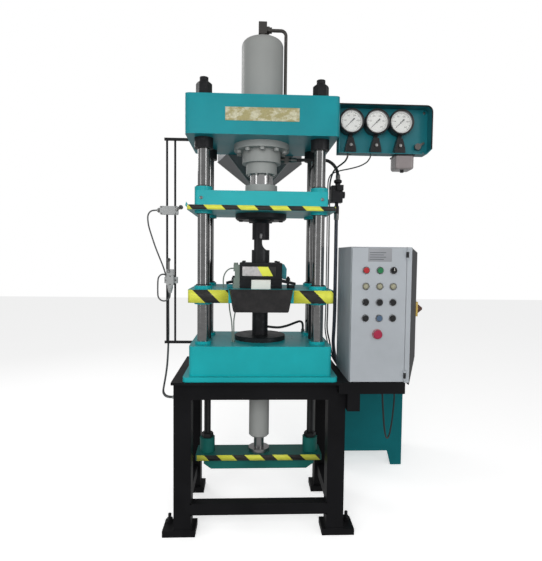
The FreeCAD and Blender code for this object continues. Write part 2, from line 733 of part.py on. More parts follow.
def air_valve():
    """The small air valve on the left of the die block, its loop of hose and the two hoses to the bed."""
    x = -DIE_BLOCK_X - 18
    y = -100.0
    z0 = DIE_TOP + 20
    body = box(x - 11, x + 18, y - 11, y + 11, z0, z0 + 92)
    waist = box(x - 12, x - 5, y - 12, y + 12, z0 + 30, z0 + 60)
    body = body.cut(waist)
    foot = box(x - 14, x + 18, y - 14, y + 14, DIE_TOP, z0)
    cap = post(10, z0 + 92, z0 + 101, x, y)
    parts = [fuse_all([body, foot, cap])]
    loop = [(x - 11, y, z0 + 74), (-143, y, z0 + 74), (-160, y + 1, z0 + 64), (-173, y + 2, z0 + 44), (-178, y + 4, z0 + 18),
            (-176, y + 6, DIE_TOP)]
    parts.append(route("air loop", loop, 3.0))
    left = [(-150, -98, DIE_PLATEN_Z), (-146, -98, 1040), (-137, -97, 996), (-134, -96, 950),
            (-133, -96, 905), (-135, -96, 855), (-135, -96, 800)]
    right = [(-116, -94, DIE_PLATEN_Z), (-119, -94, 1040), (-127, -95, 998), (-126, -96, 950),
             (-126, -96, 905), (-126.5, -96, 855), (-126.5, -96, 800)]
    parts.append(route("air hose left", left, 3.0))
    parts.append(route("air hose right", right, 3.0))
    return parts


# ================================================================ lower beam and lower cylinder
def tie_rods():
    """Two rods from the lower beam up to the die platen, each with a lock nut on the beam's boss."""
    parts = []
    nut_z = BEAM_TOP + TIE_BOSS_TALL
    for side in (-1, 1):
        x = side * TIE_X
        parts.append(post(TIE_R, TIE_FOOT_Z, DIE_PLATEN_Z + TIE_SCREWED, x, 0))
        parts.append(hexagon_nut(TIE_NUT_R, TIE_R + RUN_FIT, nut_z, nut_z + TIE_NUT_TALL, x, 0))
    return parts


def lower_beam():
    top = box(-BEAM_X, BEAM_X, -BEAM_Y, BEAM_Y, BEAM_Z, BEAM_TOP)
    top = top.makeFillet(6, vertical_edges(top))
    foot = BEAM_Z - RIB_TALL
    shoulder = BEAM_Z - RIB_TALL * 0.45
    rib = prism([(-RIB_TOP_X, -RIB_Y, BEAM_Z), (-RIB_TOP_X, -RIB_Y, shoulder), (-RIB_FOOT_X, -RIB_Y, foot),
                 (RIB_FOOT_X, -RIB_Y, foot), (RIB_TOP_X, -RIB_Y, shoulder), (RIB_TOP_X, -RIB_Y, BEAM_Z)],
                (0, 2 * RIB_Y, 0))
    parts = [top, rib]
    holes = []
    for side in (-1, 1):
        parts.append(post(TIE_BOSS_R, BEAM_TOP, BEAM_TOP + TIE_BOSS_TALL, side * TIE_X, 0))
        holes.append(post(TIE_R + RUN_FIT, TIE_FOOT_Z - 60, BEAM_TOP + TIE_BOSS_TALL + 1, side * TIE_X, 0))
    return cut_all(fuse_all(parts), holes)


def lower_ram():
    rod = post(LOWER_ROD_R, BEAM_TOP + ROD_FLANGE_TALL, LOWER_PISTON_Z)
    flange = post(ROD_FLANGE_R, BEAM_TOP, BEAM_TOP + ROD_FLANGE_TALL)
    piston = post(LOWER_BORE_R - RUN_FIT, LOWER_PISTON_Z, LOWER_PISTON_Z + LOWER_PISTON_TALL)
    return fuse_all([rod, flange, piston])


def lower_cylinder():
    """The cylinder under the bed, open inside for its piston."""
    z0 = LOWER_BARREL_Z
    z1 = BED_Z
    r = LOWER_BARREL_R
    rod = LOWER_ROD_R + RUN_FIT
    fz = z1 - LOWER_FLANGE_TALL
    return turned([(rod, z0), (r - 7, z0), (r, z0 + 7), (r, fz), (LOWER_FLANGE_R, fz), (LOWER_FLANGE_R, z1), (0, z1),
                   (0, z1 - 30), (LOWER_BORE_R, z1 - 30), (LOWER_BORE_R, z0 + 27), (rod, z0 + 27)])


# ================================================================ cabinet
def cabinet():
    """The sheet-metal cabinet, open at its front but for the hinge post."""
    x0, x1 = CABINET_X0, CABINET_X1
    z0, z1 = BED_Z, BED_Z + CABINET_TALL
    s = CABINET_SHEET
    face = CABINET_FRONT + DOOR_DEEP + SEAT_GAP
    shell = box(x0, x1, face, CABINET_BACK, z0, z1)
    room = box(x0 + s, x1 - s, face - 1, CABINET_BACK - s, z0 + s, z1 - s)
    hinge_post = box(DOOR_X1 + 2, x1, CABINET_FRONT, face + 12, z0, z1)
    shell = shell.cut(room).fuse(hinge_post)
    parts = []
    for z in hinge_heights():
        leaf = box(DOOR_X1 + 8, DOOR_X1 + 19, CABINET_FRONT - 2, CABINET_FRONT, z - HINGE_TALL, z + HINGE_TALL)
        lower = post(HINGE_R, z - HINGE_TALL, z, hinge_x(), hinge_y())
        web = box(hinge_x(), DOOR_X1 + 12, CABINET_FRONT - HINGE_R, CABINET_FRONT, z - HINGE_TALL, z)
        pin = post(HINGE_PIN_R, z, z + HINGE_TALL - 2, hinge_x(), hinge_y())
        parts += [leaf, lower, web, pin]
    return fuse_all([shell] + parts)


def hinge_heights():
    top = BED_Z + CABINET_TALL
    return (BED_Z + HINGE_TALL + HINGE_IN, top - HINGE_TALL - HINGE_IN)


def hinge_x():
    return DOOR_X1 + 1.5


def hinge_y():
    return CABINET_FRONT - HINGE_OUT


def operator_holes():
    """Where the door is drilled: three columns by four rows, and the stop button."""
    grid = [(x, z) for z in (ROW_1, ROW_2, ROW_3, ROW_4) for x in (COLUMN_1, COLUMN_2, COLUMN_3)]
    return grid + [(STOP_X, STOP_Z)]


def cabinet_door():
    z0 = BED_Z + DOOR_MARGIN
    z1 = BED_Z + CABINET_TALL - DOOR_MARGIN
    y0, y1 = CABINET_FRONT, CABINET_FRONT + DOOR_DEEP
    s = DOOR_SKIN
    pan = box(DOOR_X0, DOOR_X1, y0, y1, z0, z1)
    pan = pan.cut(box(DOOR_X0 + s, DOOR_X1 - s, y0 + s, y1 + 1, z0 + s, z1 - s))
    pan = cut_all(pan, [bar_y(STEM_R + RUN_FIT, y0 - 1, y0 + s + 1, x, z) for x, z in operator_holes()])
    parts = [pan]
    for z in hinge_heights():
        top = z + HINGE_TALL
        low = z + SEAT_GAP
        knuckle = post(HINGE_R, low, top, hinge_x(), hinge_y())
        web = box(DOOR_X1 - 8, hinge_x(), hinge_y() + 2, CABINET_FRONT, low, top)
        leaf = box(DOOR_X1 - 16, DOOR_X1 - 3, CABINET_FRONT - 2, CABINET_FRONT, low, top)
        hole = post(HINGE_PIN_R + RUN_FIT, low - 1, top - 1.5, hinge_x(), hinge_y())
        parts.append(fuse_all([knuckle, web, leaf]).cut(hole))
    return fuse_all(parts)


def stem(x, z, long=STEM_LONG):
    """The shaft of an operator, through its hole in the door."""
    start = CABINET_FRONT - BUTTON_TRAVEL - SEAT_GAP
    return bar_y(STEM_R, start, start + long, x, z)


def push_button(x, z):
    """A flush push button with a softly rounded cap."""
    back = CABINET_FRONT - BUTTON_TRAVEL - SEAT_GAP
    cap = bar_y(BUTTON_R, back - BUTTON_CAP, back, x, z)
    front = [e for e in cap.Edges if abs(e.BoundBox.YMax - (back - BUTTON_CAP)) < 1e-3]
    return cap.makeFillet(2.0, front).fuse(stem(x, z)).removeSplitter()


def emergency_stop():
    back = CABINET_FRONT - BUTTON_TRAVEL - SEAT_GAP
    head = bar_y(STOP_R, back - 16, back - 4, STOP_X, STOP_Z)
    front = [e for e in head.Edges if abs(e.BoundBox.YMax - (back - 16)) < 1e-3]
    neck = bar_y(STEM_R, back - 4, back, STOP_X, STOP_Z)
    return fuse_all([head.makeFillet(5, front), neck, stem(STOP_X, STOP_Z)])


def mode_selector():
    """A turning knob with a raised grip bar."""
    back = CABINET_FRONT - SEAT_GAP
    knob = bar_y(BUTTON_R, back - 6, back, COLUMN_3, ROW_1)
    grip = box(COLUMN_3 - 4, COLUMN_3 + 4, back - 15, back - 6, ROW_1 - BUTTON_R + 1, ROW_1 + BUTTON_R - 1)
    shaft = bar_y(STEM_R, back, back + STEM_LONG, COLUMN_3, ROW_1)
    return fuse_all([knob, grip, shaft])


def cabinet_duct():
    """The dark angled cover on the cabinet's right side, open towards the cabinet."""
    def plan(x0, x1, z, inset):
        return [(x0, CABINET_FRONT + 4 + inset * 1.6, z), (x1, DUCT_SHOULDER_Y + inset, z),
                (x1, CABINET_BACK - inset, z), (x0, CABINET_BACK - inset, z)]
    s = CABINET_SHEET
    z0 = BED_Z - STAND_PLATE
    z1 = BED_Z + CABINET_TALL - DUCT_DROP
    peak = BED_Z + CABINET_TALL - DUCT_EDGE
    outer = prism(plan(CABINET_X1, DUCT_X, z0, 0), (0, 0, peak - z0))
    slope = prism([(CABINET_X1 - 1, -400, peak), (DUCT_X, -400, z1), (DUCT_X + 1, -400, peak + 1),
                   (CABINET_X1 - 1, -400, peak + 1)], (0, 800, 0))
    outer = outer.cut(slope).fuse(box(DUCT_X, DUCT_X + SWITCH_BASE, SWITCH_Y - SWITCH_BASE_Y, SWITCH_Y + SWITCH_BASE_Y,
                                      SWITCH_Z - SWITCH_BASE_Z, SWITCH_Z + SWITCH_BASE_Z)).removeSplitter()
    inner = prism(plan(CABINET_X1 - 1, DUCT_X - s, z0 + s, s), (0, 0, z1 - z0 - 2 * s))
    reach = DUCT_X - CABINET_X1
    wedge = prism([(DUCT_X + 1, -400, DUCT_CHAMFER_Z), (DUCT_X + 1, -400, z0 - 1),
                   (CABINET_X1 + 6, -400, z0 - 1)], (0, 800, 0))
    inner_wedge = prism([(DUCT_X + 1 - s, -400, DUCT_CHAMFER_Z + s), (DUCT_X + 1, -400, z0 - 1),
                         (CABINET_X1 + 6 - 1.4 * s, -400, z0 - 1), (CABINET_X1 - reach, -400, z0 - 1)], (0, 800, 0))
    hollow = inner.cut(inner_wedge)
    hole = bar_x(SWITCH_STEM_R + RUN_FIT, DUCT_X - s - 1, DUCT_X + SWITCH_BASE + 1, SWITCH_Y, SWITCH_Z)
    return outer.cut(wedge).cut(hollow).cut(hole)


def main_switch_handle():
    """The rotary main switch handle on the cabinet's right side, its shaft through the cover."""
    x0 = DUCT_X + SWITCH_BASE + SEAT_GAP
    hub = bar_x(23, x0, x0 + 5, SWITCH_Y, SWITCH_Z)
    y0 = SWITCH_Y - 8
    grip = prism([(x0 + 5, y0, SWITCH_Z - 21), (x0 + 10, y0, SWITCH_Z - 21), (x0 + 30, y0, SWITCH_Z - 5),
                  (x0 + 30, y0, SWITCH_Z + 5), (x0 + 10, y0, SWITCH_Z + 21), (x0 + 5, y0, SWITCH_Z + 21)], (0, 16, 0))
    shaft = bar_x(SWITCH_STEM_R, DUCT_X - 20, x0, SWITCH_Y, SWITCH_Z)
    return fuse_all([hub, grip, shaft])


# ================================================================ gauge panel
def panel_outline(inset, y):
    """The panel's outline, with a rounded upper and a chamfered lower outer corner."""
    x0, x1 = PANEL_X0 + inset, PANEL_X1 - inset
    z0, z1 = PANEL_Z0 + inset, PANEL_Z1 - inset
    r = PANEL_ROUND - inset
    c = PANEL_CHAMFER - inset * 0.4
    a = vec(x0, y, z0)
    b = vec(x1 - c, y, z0)
    d = vec(x1, y, z0 + c)
    e = vec(x1, y, z1 - r)
    turn = math.radians(45)
    m = vec(x1 - r + r * math.cos(turn), y, z1 - r + r * math.sin(turn))
    f = vec(x1 - r, y, z1)
    g = vec(x0, y, z1)
    edges = [Part.LineSegment(p, q).toShape() for p, q in ((a, b), (b, d), (d, e))]
    edges.append(Part.Arc(e, m, f).toShape())
    edges += [Part.LineSegment(p, q).toShape() for p, q in ((f, g), (g, a))]
    return Part.Face(Part.Wire(edges))


def gauge_panel():
    """A folded tray, open to the front, whose back carries the gauges; a bracket holds it to the crown."""
    front = PANEL_FACE - PANEL_HOOD
    deep = PANEL_HOOD + PANEL_SHEET
    outer = panel_outline(0, front).extrude(vec(0, deep, 0))
    room = panel_outline(PANEL_SHEET, front - 1).extrude(vec(0, PANEL_HOOD + 1, 0))
    tray = outer.cut(room)
    holes = [bar_y(5 + RUN_FIT, PANEL_FACE - 1, PANEL_FACE + PANEL_SHEET + 1, LEVER_X, LEVER_Z)]
    tray = cut_all(tray, holes)
    back = PANEL_FACE + PANEL_SHEET
    arm = box(CROWN_X, PANEL_X0 + 60, back, back + 8, CROWN_Z + 20, CROWN_TOP - 20)
    pad = box(CROWN_X, CROWN_X + 8, back + 8, back + 80, CROWN_Z + 20, CROWN_TOP - 20)
    return tray.fuse(arm.fuse(pad)).removeSplitter()


def gauge_cases():
    """Three gauge cases, each with a sunk dial, and the push valve below each of them."""
    parts = []
    for x in GAUGE_X:
        front = PANEL_FACE - GAUGE_DEEP
        case = bar_y(GAUGE_R, front, PANEL_FACE, x, GAUGE_Z)
        case = case.cut(bar_y(DIAL_R, front - 1, front + DIAL_SUNK, x, GAUGE_Z))
        case = case.cut(bar_y(1.5 + RUN_FIT, front, front + DIAL_SUNK + 12, x, GAUGE_Z))
        parts.append(case)
        top = VALVE_Z + VALVE_TALL
        y0 = PANEL_FACE - VALVE_DEEP
        body = prism([(x - 26, y0, VALVE_Z), (x + 26, y0, VALVE_Z), (x + 24, y0, VALVE_Z + 22),
                      (x + 12, y0, top), (x - 12, y0, top), (x - 24, y0, VALVE_Z + 22)], (0, VALVE_DEEP, 0))
        neck = box(x - 8, x + 8, y0 + 8, PANEL_FACE, top, GAUGE_Z - GAUGE_R + 4)
        body = body.fuse(neck).fuse(bar_y(PUSH_R, y0 - 5, y0, x, PUSH_Z))
        parts.append(body.cut(bar_y(GAUGE_R, y0 - 9, PANEL_FACE + 1, x, GAUGE_Z)).removeSplitter())
    return parts


def gauge_needle(x):
    """A pointer resting at zero, low on the left, with a broad tail opposite."""
    y = PANEL_FACE - GAUGE_DEEP + DIAL_SUNK - 3.5
    hub = bar_y(4, y - 1, y + 1, x, GAUGE_Z)
    pointer = [(x, y - 0.5, GAUGE_Z - 1.6), (x - 38, y - 0.5, GAUGE_Z - 0.5),
               (x - 38, y - 0.5, GAUGE_Z + 0.5), (x, y - 0.5, GAUGE_Z + 1.6)]
    tail = [(x, y - 0.5, GAUGE_Z - 2.2), (x + 20, y - 0.5, GAUGE_Z - 3.2),
            (x + 20, y - 0.5, GAUGE_Z + 3.2), (x, y - 0.5, GAUGE_Z + 2.2)]
    spindle = bar_y(1.5, y, y + 13, x, GAUGE_Z)
    needle = fuse_all([hub, prism(pointer, (0, 1, 0)), prism(tail, (0, 1, 0)), spindle])
    needle.rotate(vec(x, y, GAUGE_Z), vec(0, 1, 0), -45)
    return needle


def panel_lever():
    """The small two-way valve lever at the right of the panel."""
    y0 = PANEL_FACE - SEAT_GAP
    hub = bar_y(15, y0 - 18, y0, LEVER_X, LEVER_Z)
    shaft = bar_y(5, y0, y0 + 16, LEVER_X, LEVER_Z)
    blade = box(LEVER_X, LEVER_X + 36, y0 - 16, y0 - 11, LEVER_Z - 5, LEVER_Z + 5)
    blade.rotate(vec(LEVER_X, y0, LEVER_Z), vec(0, 1, 0), -32)
    return fuse_all([hub, shaft, blade])


def filter_bowl():
    """The smoky bowl that hangs under the panel."""
    z1 = PANEL_Z0
    z0 = z1 - BOWL_TALL
    bowl = slab(BOWL_X0, BOWL_X1, BOWL_Y0, BOWL_Y1, z0, z1, 14)
    bottom = [e for e in bowl.Edges if e.BoundBox.ZMax < z0 + 0.01]
    bowl = bowl.makeFillet(12, bottom)
    w = BOWL_WALL
    room = slab(BOWL_X0 + w, BOWL_X1 - w, BOWL_Y0 + w, BOWL_Y1 - w, z0 + w, z1 - 8, 14 - w)
    low = [e for e in room.Edges if e.BoundBox.ZMax < z0 + w + 0.01]
    return bowl.cut(room.makeFillet(8, low))


# ================================================================ pipes and hoses
def steel_pipes():
    """The head fitting and its pipe, the side port, and the thin lines up to the gauges."""
    parts = []
    base = turned([(0, DOME_TOP - 3), (26, DOME_TOP - 3), (28, DOME_TOP + 2), (28, DOME_TOP + 7), (19, DOME_TOP + 9),
                   (19, HEAD_BLOCK_Z), (0, HEAD_BLOCK_Z)])
    h = HEAD_HALF
    block = box(-h, h, -h, h, HEAD_BLOCK_Z, HEAD_TOP)
    block = block.makeFillet(3, vertical_edges(block))
    centre_z = dome_points()[3]
    ball = Part.makeSphere(DOME_TOP - centre_z + 0.02, vec(0, 0, centre_z))
    head = fuse_all([base, block, bar_x(14, h - 2, 44, 0, HEAD_PORT_Z)]).cut(ball)
    parts.append(head.removeSplitter())
    z = HEAD_PORT_Z
    drop = [(44, 0, z), (112, 0, z), (112, 0, CROWN_TOP + 26)]
    parts.append(steel_elbow("head pipe", drop, 8.0, 24))
    foot = post(15, CROWN_TOP, CROWN_TOP + 26, 112, 0)
    parts.append(foot.cut(post(BARREL_R + 0.5, CROWN_TOP - 1, CROWN_TOP + 30)))
    parts.append(bar_x(13, NOSE_R - 1.5, 112, 0, PORT_Z).fuse(
        box(112, 132, -15, 15, PORT_Z - 15, PORT_Z + 15)).fuse(bar_x(11, 132, 146, 0, PORT_Z)).cut(
        post(NOSE_R + SEAT_GAP, PORT_Z - 40, PORT_Z + 27)).removeSplitter())
    first = [(398, -130, PANEL_Z0), (397, -128, 1766), (390, -112, 1750), (378, -78, 1742), (366, -30, 1736),
             (357, 15, 1726), (350, 45, 1694), (348, 58, 1666), (348, 60, 1640)]
    parts.append(route("gauge line 1", first, 4.0))
    second = [(505, -130, PANEL_Z0), (504, -128, 1766), (494, -112, 1748), (470, -80, 1736), (432, -40, 1730),
              (392, 0, 1728), (368, 30, 1724), (350, 50, 1716), (340, 60, 1692), (338, 60, 1660), (338, 60, 1620)]
    parts.append(route("gauge line 2", second, 3.0))
    return parts


def steel_elbow(name, points, r, bend):
    """A bent steel pipe with one bend radius."""
    places = [vec(*p) for p in points]
    start, corner, end = places
    toward = (start - corner).normalize()
    onward = (end - corner).normalize()
    first = corner + toward * bend
    last = corner + onward * bend
    half = (toward + onward).normalize()
    centre = first + onward * bend
    middle = centre - half * bend
    edges = [Part.LineSegment(start, first).toShape(), Part.Arc(first, middle, last).toShape()]
    edges.append(Part.LineSegment(last, end).toShape())
    circle = Part.Wire([Part.Circle(start, onward * 0 + (corner - start).normalize(), r).toShape()])
    return Part.Wire(edges).makePipeShell([circle], True, False)


def riser(name, x, y, top, r, lag, port):
    """A line from the valve side down past the cabinet and back to the manifold; lag sets it behind the next one."""
    end_z = TANK_TOP + LID_THICK + MANIFOLD_TALL
    points = [(x, y, top), (x, y + 0.5, top - 110), (x + 0.5, y, top - 230), (x, y, top - 350),
              (x + 0.5, y + 0.5, top - 470), (x, y, 1010), (x + 1, y + 16 + 0.3 * lag, 925)]
    points += [(388 - 0.9 * lag, 110 + 0.5 * lag, 850), (404 - 0.6 * lag, 148 + lag, 778),
               (430 - 0.2 * lag, 184 + lag, 716), (465 - 0.3 * lag, 246 + lag, 672 + 0.2 * lag),
               (505 - 0.5 * lag, 335 + lag, 644 + 0.2 * lag), (0.6 * port + 194, 435 + 0.5 * lag, 632 + 0.1 * lag),
               (0.9 * port + 48, 530 + 0.3 * lag, 622), (port, 588, 614), (port, 624, 604), (port, MANIFOLD_Y, 584),
               (port, MANIFOLD_Y, end_z)]
    return route(name, points, r)


def pressure_hose():
    """The hose from the cylinder's side port to the valve."""
    points = [(146, 0, PORT_Z), (172, 0, PORT_Z), (206, 2, 1775), (244, 9, 1779), (280, 20, 1782), (310, 31, 1782.5),
              (336.7, 41.1, 1782), (369.9, 53.1, 1761.6), (389, 60, 1726.4), (389, 60, 1692)]
    return route("pressure hose", points, 8.0)


def hydraulic_hoses():
    """The hoses and thin gauge lines that run down to the tank and the bed."""
    parts = []
    parts.append(riser("main riser", 385, 64, 1518, 9.0, 0, MANIFOLD_X + 20))
    rear = [(372, 86, 1610), (372, 104, 1610), (366, 132, 1604), (354, 168, 1584), (342, 206, 1546), (336, 232, 1500),
            (335, 240, 1446), (335, 242, 1380), (334, 242, 1270), (335, 242, 1160), (334, 243, 1050),
            (335, 243, 940), (334, 246, 860), (331, 253, 800), (330, 255, 768), (330, 255, BED_Z)]
    parts.append(route("rear hose", rear, 8.0))
    link = [(PEDESTAL_R, 12, 950), (62, 18, 946), (98, 30, 942), (140, 52, 948), (180, 86, 958), (212, 130, 962),
            (230, 172, 950), (236, 188, 932), (236, 190, 914), (236, 190, BED_TOP)]
    parts.append(route("pedestal hose", link, 6.0))
    parts.append(riser("gauge riser 1", 348, 60, 1640, 4.0, 17, MANIFOLD_X - 4))
    parts.append(riser("gauge riser 2", 338, 60, 1620, 3.0, 30, MANIFOLD_X - 28))
    return parts


def flow_valve():
    """The valve on the line beside the right-hand column, with its adjusting knob and fittings."""
    x, y = 383.0, 60.0
    body = box(x - 28, x + 28, y - 26, y + 26, 1576, 1660)
    body = body.makeFillet(4, vertical_edges(body))
    knob = bar_x(17, x + 28, x + 40, y - 4, 1615)
    top_block = box(x - 4, x + 28, y - 40, y - 26, 1634, 1661)
    neck = turned([(0, 1660), (13, 1660), (13, 1672), (20, 1678), (20, 1688), (14, 1692), (0, 1692)], 389, y)
    tail = turned([(0, 1576), (9, 1576), (9, 1562), (13, 1558), (13, 1522), (10, 1518), (0, 1518)], 385, y + 4)
    return [body, knob, top_block, neck, tail]


# ================================================================ limit switches and cables
def limit_rail():
    """Two black rods held off the crown and the bed by flat bars."""
    parts = []
    half = BAR_TALL / 2
    top = box(RAIL_X[0] - 12, -CROWN_X, RAIL_Y - 6, RAIL_Y + 6, RAIL_Z1 - half, RAIL_Z1 + half)
    bottom = box(RAIL_X[0] - 12, -BED_X, RAIL_Y - 6, RAIL_Y + 6, RAIL_Z0 - half, RAIL_Z0 + half)
    for x in RAIL_X:
        parts.append(post(RAIL_R, RAIL_Z0 + half, RAIL_Z1 - half, x, RAIL_Y))
    return [top, bottom] + parts


def clamp_block(z, tall):
    """The block that grips both rods behind a switch."""
    block = box(RAIL_X[0] - 12, RAIL_X[1] + 12, SWITCH_BACK, RAIL_Y + 8, z - tall / 2, z + tall / 2)
    return cut_all(block, [post(RAIL_R, z - tall, z + tall, x, RAIL_Y) for x in RAIL_X])


def limit_switches():
    y0, y1 = SWITCH_FRONT, SWITCH_BACK
    ym = (y0 + y1) / 2
    z = UPPER_SWITCH_Z
    upper = box(-476, -392, y0, y1, z - 20, z + 20)
    upper = upper.makeFillet(4, [e for e in upper.Edges if e.BoundBox.YLength > 1])
    neck = bar_x(8, -490, -476, ym, z)
    pivot = bar_y(3, y0 - 12, y0, -396, z + 2)
    lower_z = LOWER_SWITCH_Z
    lower = box(-446, -412, y0, y1, lower_z - 24, lower_z + 24)
    lower = lower.makeFillet(4, [e for e in lower.Edges if e.BoundBox.YLength > 1])
    head = box(-445, -414, y0 - 2, y1 - 2, lower_z + 24, lower_z + 52)
    tail = turned([(0, lower_z - 24), (13, lower_z - 24), (14, lower_z - 34), (8, lower_z - 60), (0, lower_z - 60)],
                  -430, ym)
    lower_pivot = bar_y(3, y0 - 14, y0 - 2, -434, lower_z + 42)
    glands = [bar_x(6, -407, -LEG_X, -150, 640), bar_x(6, -407, -LEG_X, -134, 640)]
    return [upper.fuse(neck).fuse(pivot).removeSplitter(), clamp_block(z, 26), lower, fuse_all([head, lower_pivot]),
            tail, clamp_block(lower_z, 30)] + glands


def switch_lever(pivot_x, pivot_z, roller_x, roller_z, roller_r, y_back):
    """A lever arm with its roller at the free end."""
    y0 = y_back - 9
    long = math.hypot(roller_x - pivot_x, roller_z - pivot_z)
    arm = box(pivot_x, pivot_x + long, y_back - 3.5, y_back, pivot_z - 5, pivot_z + 5)
    angle = math.degrees(math.atan2(roller_z - pivot_z, roller_x - pivot_x))
    arm.rotate(vec(pivot_x, 0, pivot_z), vec(0, 1, 0), -angle)
    hub = bar_y(7, y_back - 3.5, y_back, pivot_x, pivot_z)
    roller = bar_y(roller_r, y0, y_back, roller_x, roller_z)
    whole = fuse_all([arm, hub, roller])
    return whole.cut(bar_y(3 + RUN_FIT, y0 - 20, y_back + 5, pivot_x, pivot_z))


def upper_switch_lever():
    return switch_lever(-396, UPPER_SWITCH_Z + 2, -377, UPPER_SWITCH_Z + 14, 10, SWITCH_FRONT - SEAT_GAP)


def lower_switch_lever():
    z = LOWER_SWITCH_Z
    return switch_lever(-434, z + 42, -434, z + 97, 9, SWITCH_FRONT - 2 - SEAT_GAP)


def upper_switch_lead():
    """The upper switch's lead, down behind the rail and into the stand's leg."""
    points = [(-490, -79, 1512), (-511, -79, 1512), (-526, -79, 1503), (-534, -79, 1487), (-534, -79, 1466),
              (-530, -79, 1436), (-518, -77, 1396), (-503, -71, 1346), (-486, -59, 1296), (-470, -44, 1250),
              (-459, -31, 1208), (-453, -23, 1164), (-449.5, -19.6, 1116), (-448, -18.6, 1062), (-447.2, -18.2, 1004),
              (-446.9, -18.3, 946), (-447.1, -19, 900), (-447.7, -20.6, 860), (-449, -24, 814), (-450, -34, 772),
              (-452, -50, 736), (-454, -70, 706), (-455.5, -92, 682), (-456, -114.3, 659.7), (-445.8, -126.8, 647.2),
              (-428.2, -134, 640), (-407, -134, 640)]
    return route("upper switch lead", points, CABLE_R)


def lower_switch_lead():
    """The lower switch's lead, looped up beside the switch and then down into the leg."""
    points = [(-430, -79, 1123), (-430, -79, 1105.2), (-437.8, -79, 1091.8), (-451.2, -79, 1084), (-466.8, -78, 1084),
              (-480.2, -77, 1091.8), (-488, -76, 1105.2), (-489, -75, 1128), (-489, -75, 1158), (-488, -74, 1189.5),
              (-482.5, -68.9, 1202.5), (-473, -60.1, 1210), (-462, -49.9, 1210), (-452.5, -41.1, 1202.5),
              (-447, -36, 1189.5), (-445.6, -34.8, 1162), (-445, -34.4, 1120), (-444.8, -34.3, 1066), (-444.9, -34.4, 1008),
              (-445.3, -34.8, 950), (-446, -35.5, 904), (-447.2, -36.9, 860), (-449, -40, 814), (-450, -50, 772), (-452, -66, 736),
              (-454, -86, 706), (-455.5, -108, 682), (-456, -130.3, 659.7), (-445.8, -142.8, 647.2),
              (-428.2, -150, 640), (-407, -150, 640)]
    return route("lower switch lead", points, CABLE_R)


def motor_lead():
    """The motor's lead, slung from under the shelf to the terminal box."""
    points = [(640, 60, 683), (640, 60, 666), (641.6, 63, 641), (644.8, 69, 604), (650.2, 79.2, 557),
              (657, 91.8, 508), (665, 106.7, 458.1), (673.4, 122.5, 411.4), (683.1, 140.6, 370.3),
              (693.2, 159.4, 338.9), (704.4, 180.4, 314.7), (717.3, 204.5, 298.2), (732, 232, 292),
              (746.7, 259.5, 298.2), (759.6, 283.6, 314.7), (770.8, 304.6, 338.9), (780.9, 322, 370.3),
              (790.6, 339, 411), (799, 352, 462), (805, 371, 515), (808, 398, 562), (806, 432, 590),
              (798, 470, 604), (785, 506, 608), (764, 536, 605.5), (747, 562, 600), (734, 584, 593),
              (727, 606, 590), (727, 625, 590)]
    return route("motor lead", points, 4.5)


# ================================================================ tank and pump set
def tank_leg(side_x, side_y):
    """A tapered plate leg that carries on down from a corner of the tank."""
    x_out = TANK_X1 if side_x > 0 else TANK_X0
    y0 = TANK_FRONT if side_y < 0 else TANK_BACK - TANK_SHEET
    points = [(x_out, y0, TANK_Z), (x_out, y0, 0), (x_out - side_x * TANK_LEG_FOOT, y0, 0),
              (x_out - side_x * TANK_LEG_TOP, y0, TANK_Z)]
    plate = prism(points, (0, TANK_SHEET, 0))
    x0, x1 = sorted((x_out, x_out - side_x * TANK_SHEET))
    depth = 60
    y_in = y0 if side_y < 0 else TANK_BACK - depth
    return plate.fuse(box(x0, x1, y_in, y_in + depth, 0, TANK_Z))


def oil_tank():
    s = TANK_SHEET
    outer = box(TANK_X0, TANK_X1, TANK_FRONT, TANK_BACK, TANK_Z, TANK_TOP)
    room = box(TANK_X0 + s, TANK_X1 - s, TANK_FRONT + s, TANK_BACK - s, TANK_Z + s, TANK_TOP + 1)
    legs = [tank_leg(sx, sy) for sx, sy in CORNERS]
    shell = fuse_all([outer.cut(room)] + legs)
    lid = box(TANK_X0 - 6, TANK_X1 + 6, TANK_FRONT - 6, TANK_BACK + 6, TANK_TOP, TANK_TOP + LID_THICK)
    return [shell, lid]


def pump_set():
    """The upright motor on its bell housing, the pump's dip tube, and the manifold block."""
    z = TANK_TOP + LID_THICK
    bell = turned([(0, z), (PUMP_R + 30, z), (PUMP_R + 30, z + 12), (PUMP_R, z + 18), (PUMP_R, z + 70), (0, z + 70)],
                  MOTOR_X, MOTOR_Y)
    motor = post(MOTOR_R, z + 70, z + 70 + MOTOR_TALL, MOTOR_X, MOTOR_Y)
    hood = post(MOTOR_R - 4, z + 70 + MOTOR_TALL, z + 110 + MOTOR_TALL, MOTOR_X, MOTOR_Y)
    terminal = box(MOTOR_X - 34, MOTOR_X + 34, MOTOR_Y - MOTOR_R - 22, MOTOR_Y - MOTOR_R + 20, z + 92, z + 170)
    terminal = terminal.cut(post(MOTOR_R + SEAT_GAP, z + 60, z + 200, MOTOR_X, MOTOR_Y))
    manifold = box(MANIFOLD_X - 44, MANIFOLD_X + 38, MANIFOLD_Y - 35, MANIFOLD_Y + 75, z, z + MANIFOLD_TALL)
    coils = [bar_y(19, MANIFOLD_Y + 75, MANIFOLD_Y + 135, MANIFOLD_X + dx, z + 55) for dx in (-23, 18)]
    return [bell, motor, hood, terminal, manifold] + coils


# ================================================================ hopper
def hopper_ring(z, front_x, back_x, y0, y1):
    points = [vec(-front_x, y0, z), vec(front_x, y0, z), vec(back_x, y1, z), vec(-back_x, y1, z)]
    return Part.makePolygon(points + points[:1])


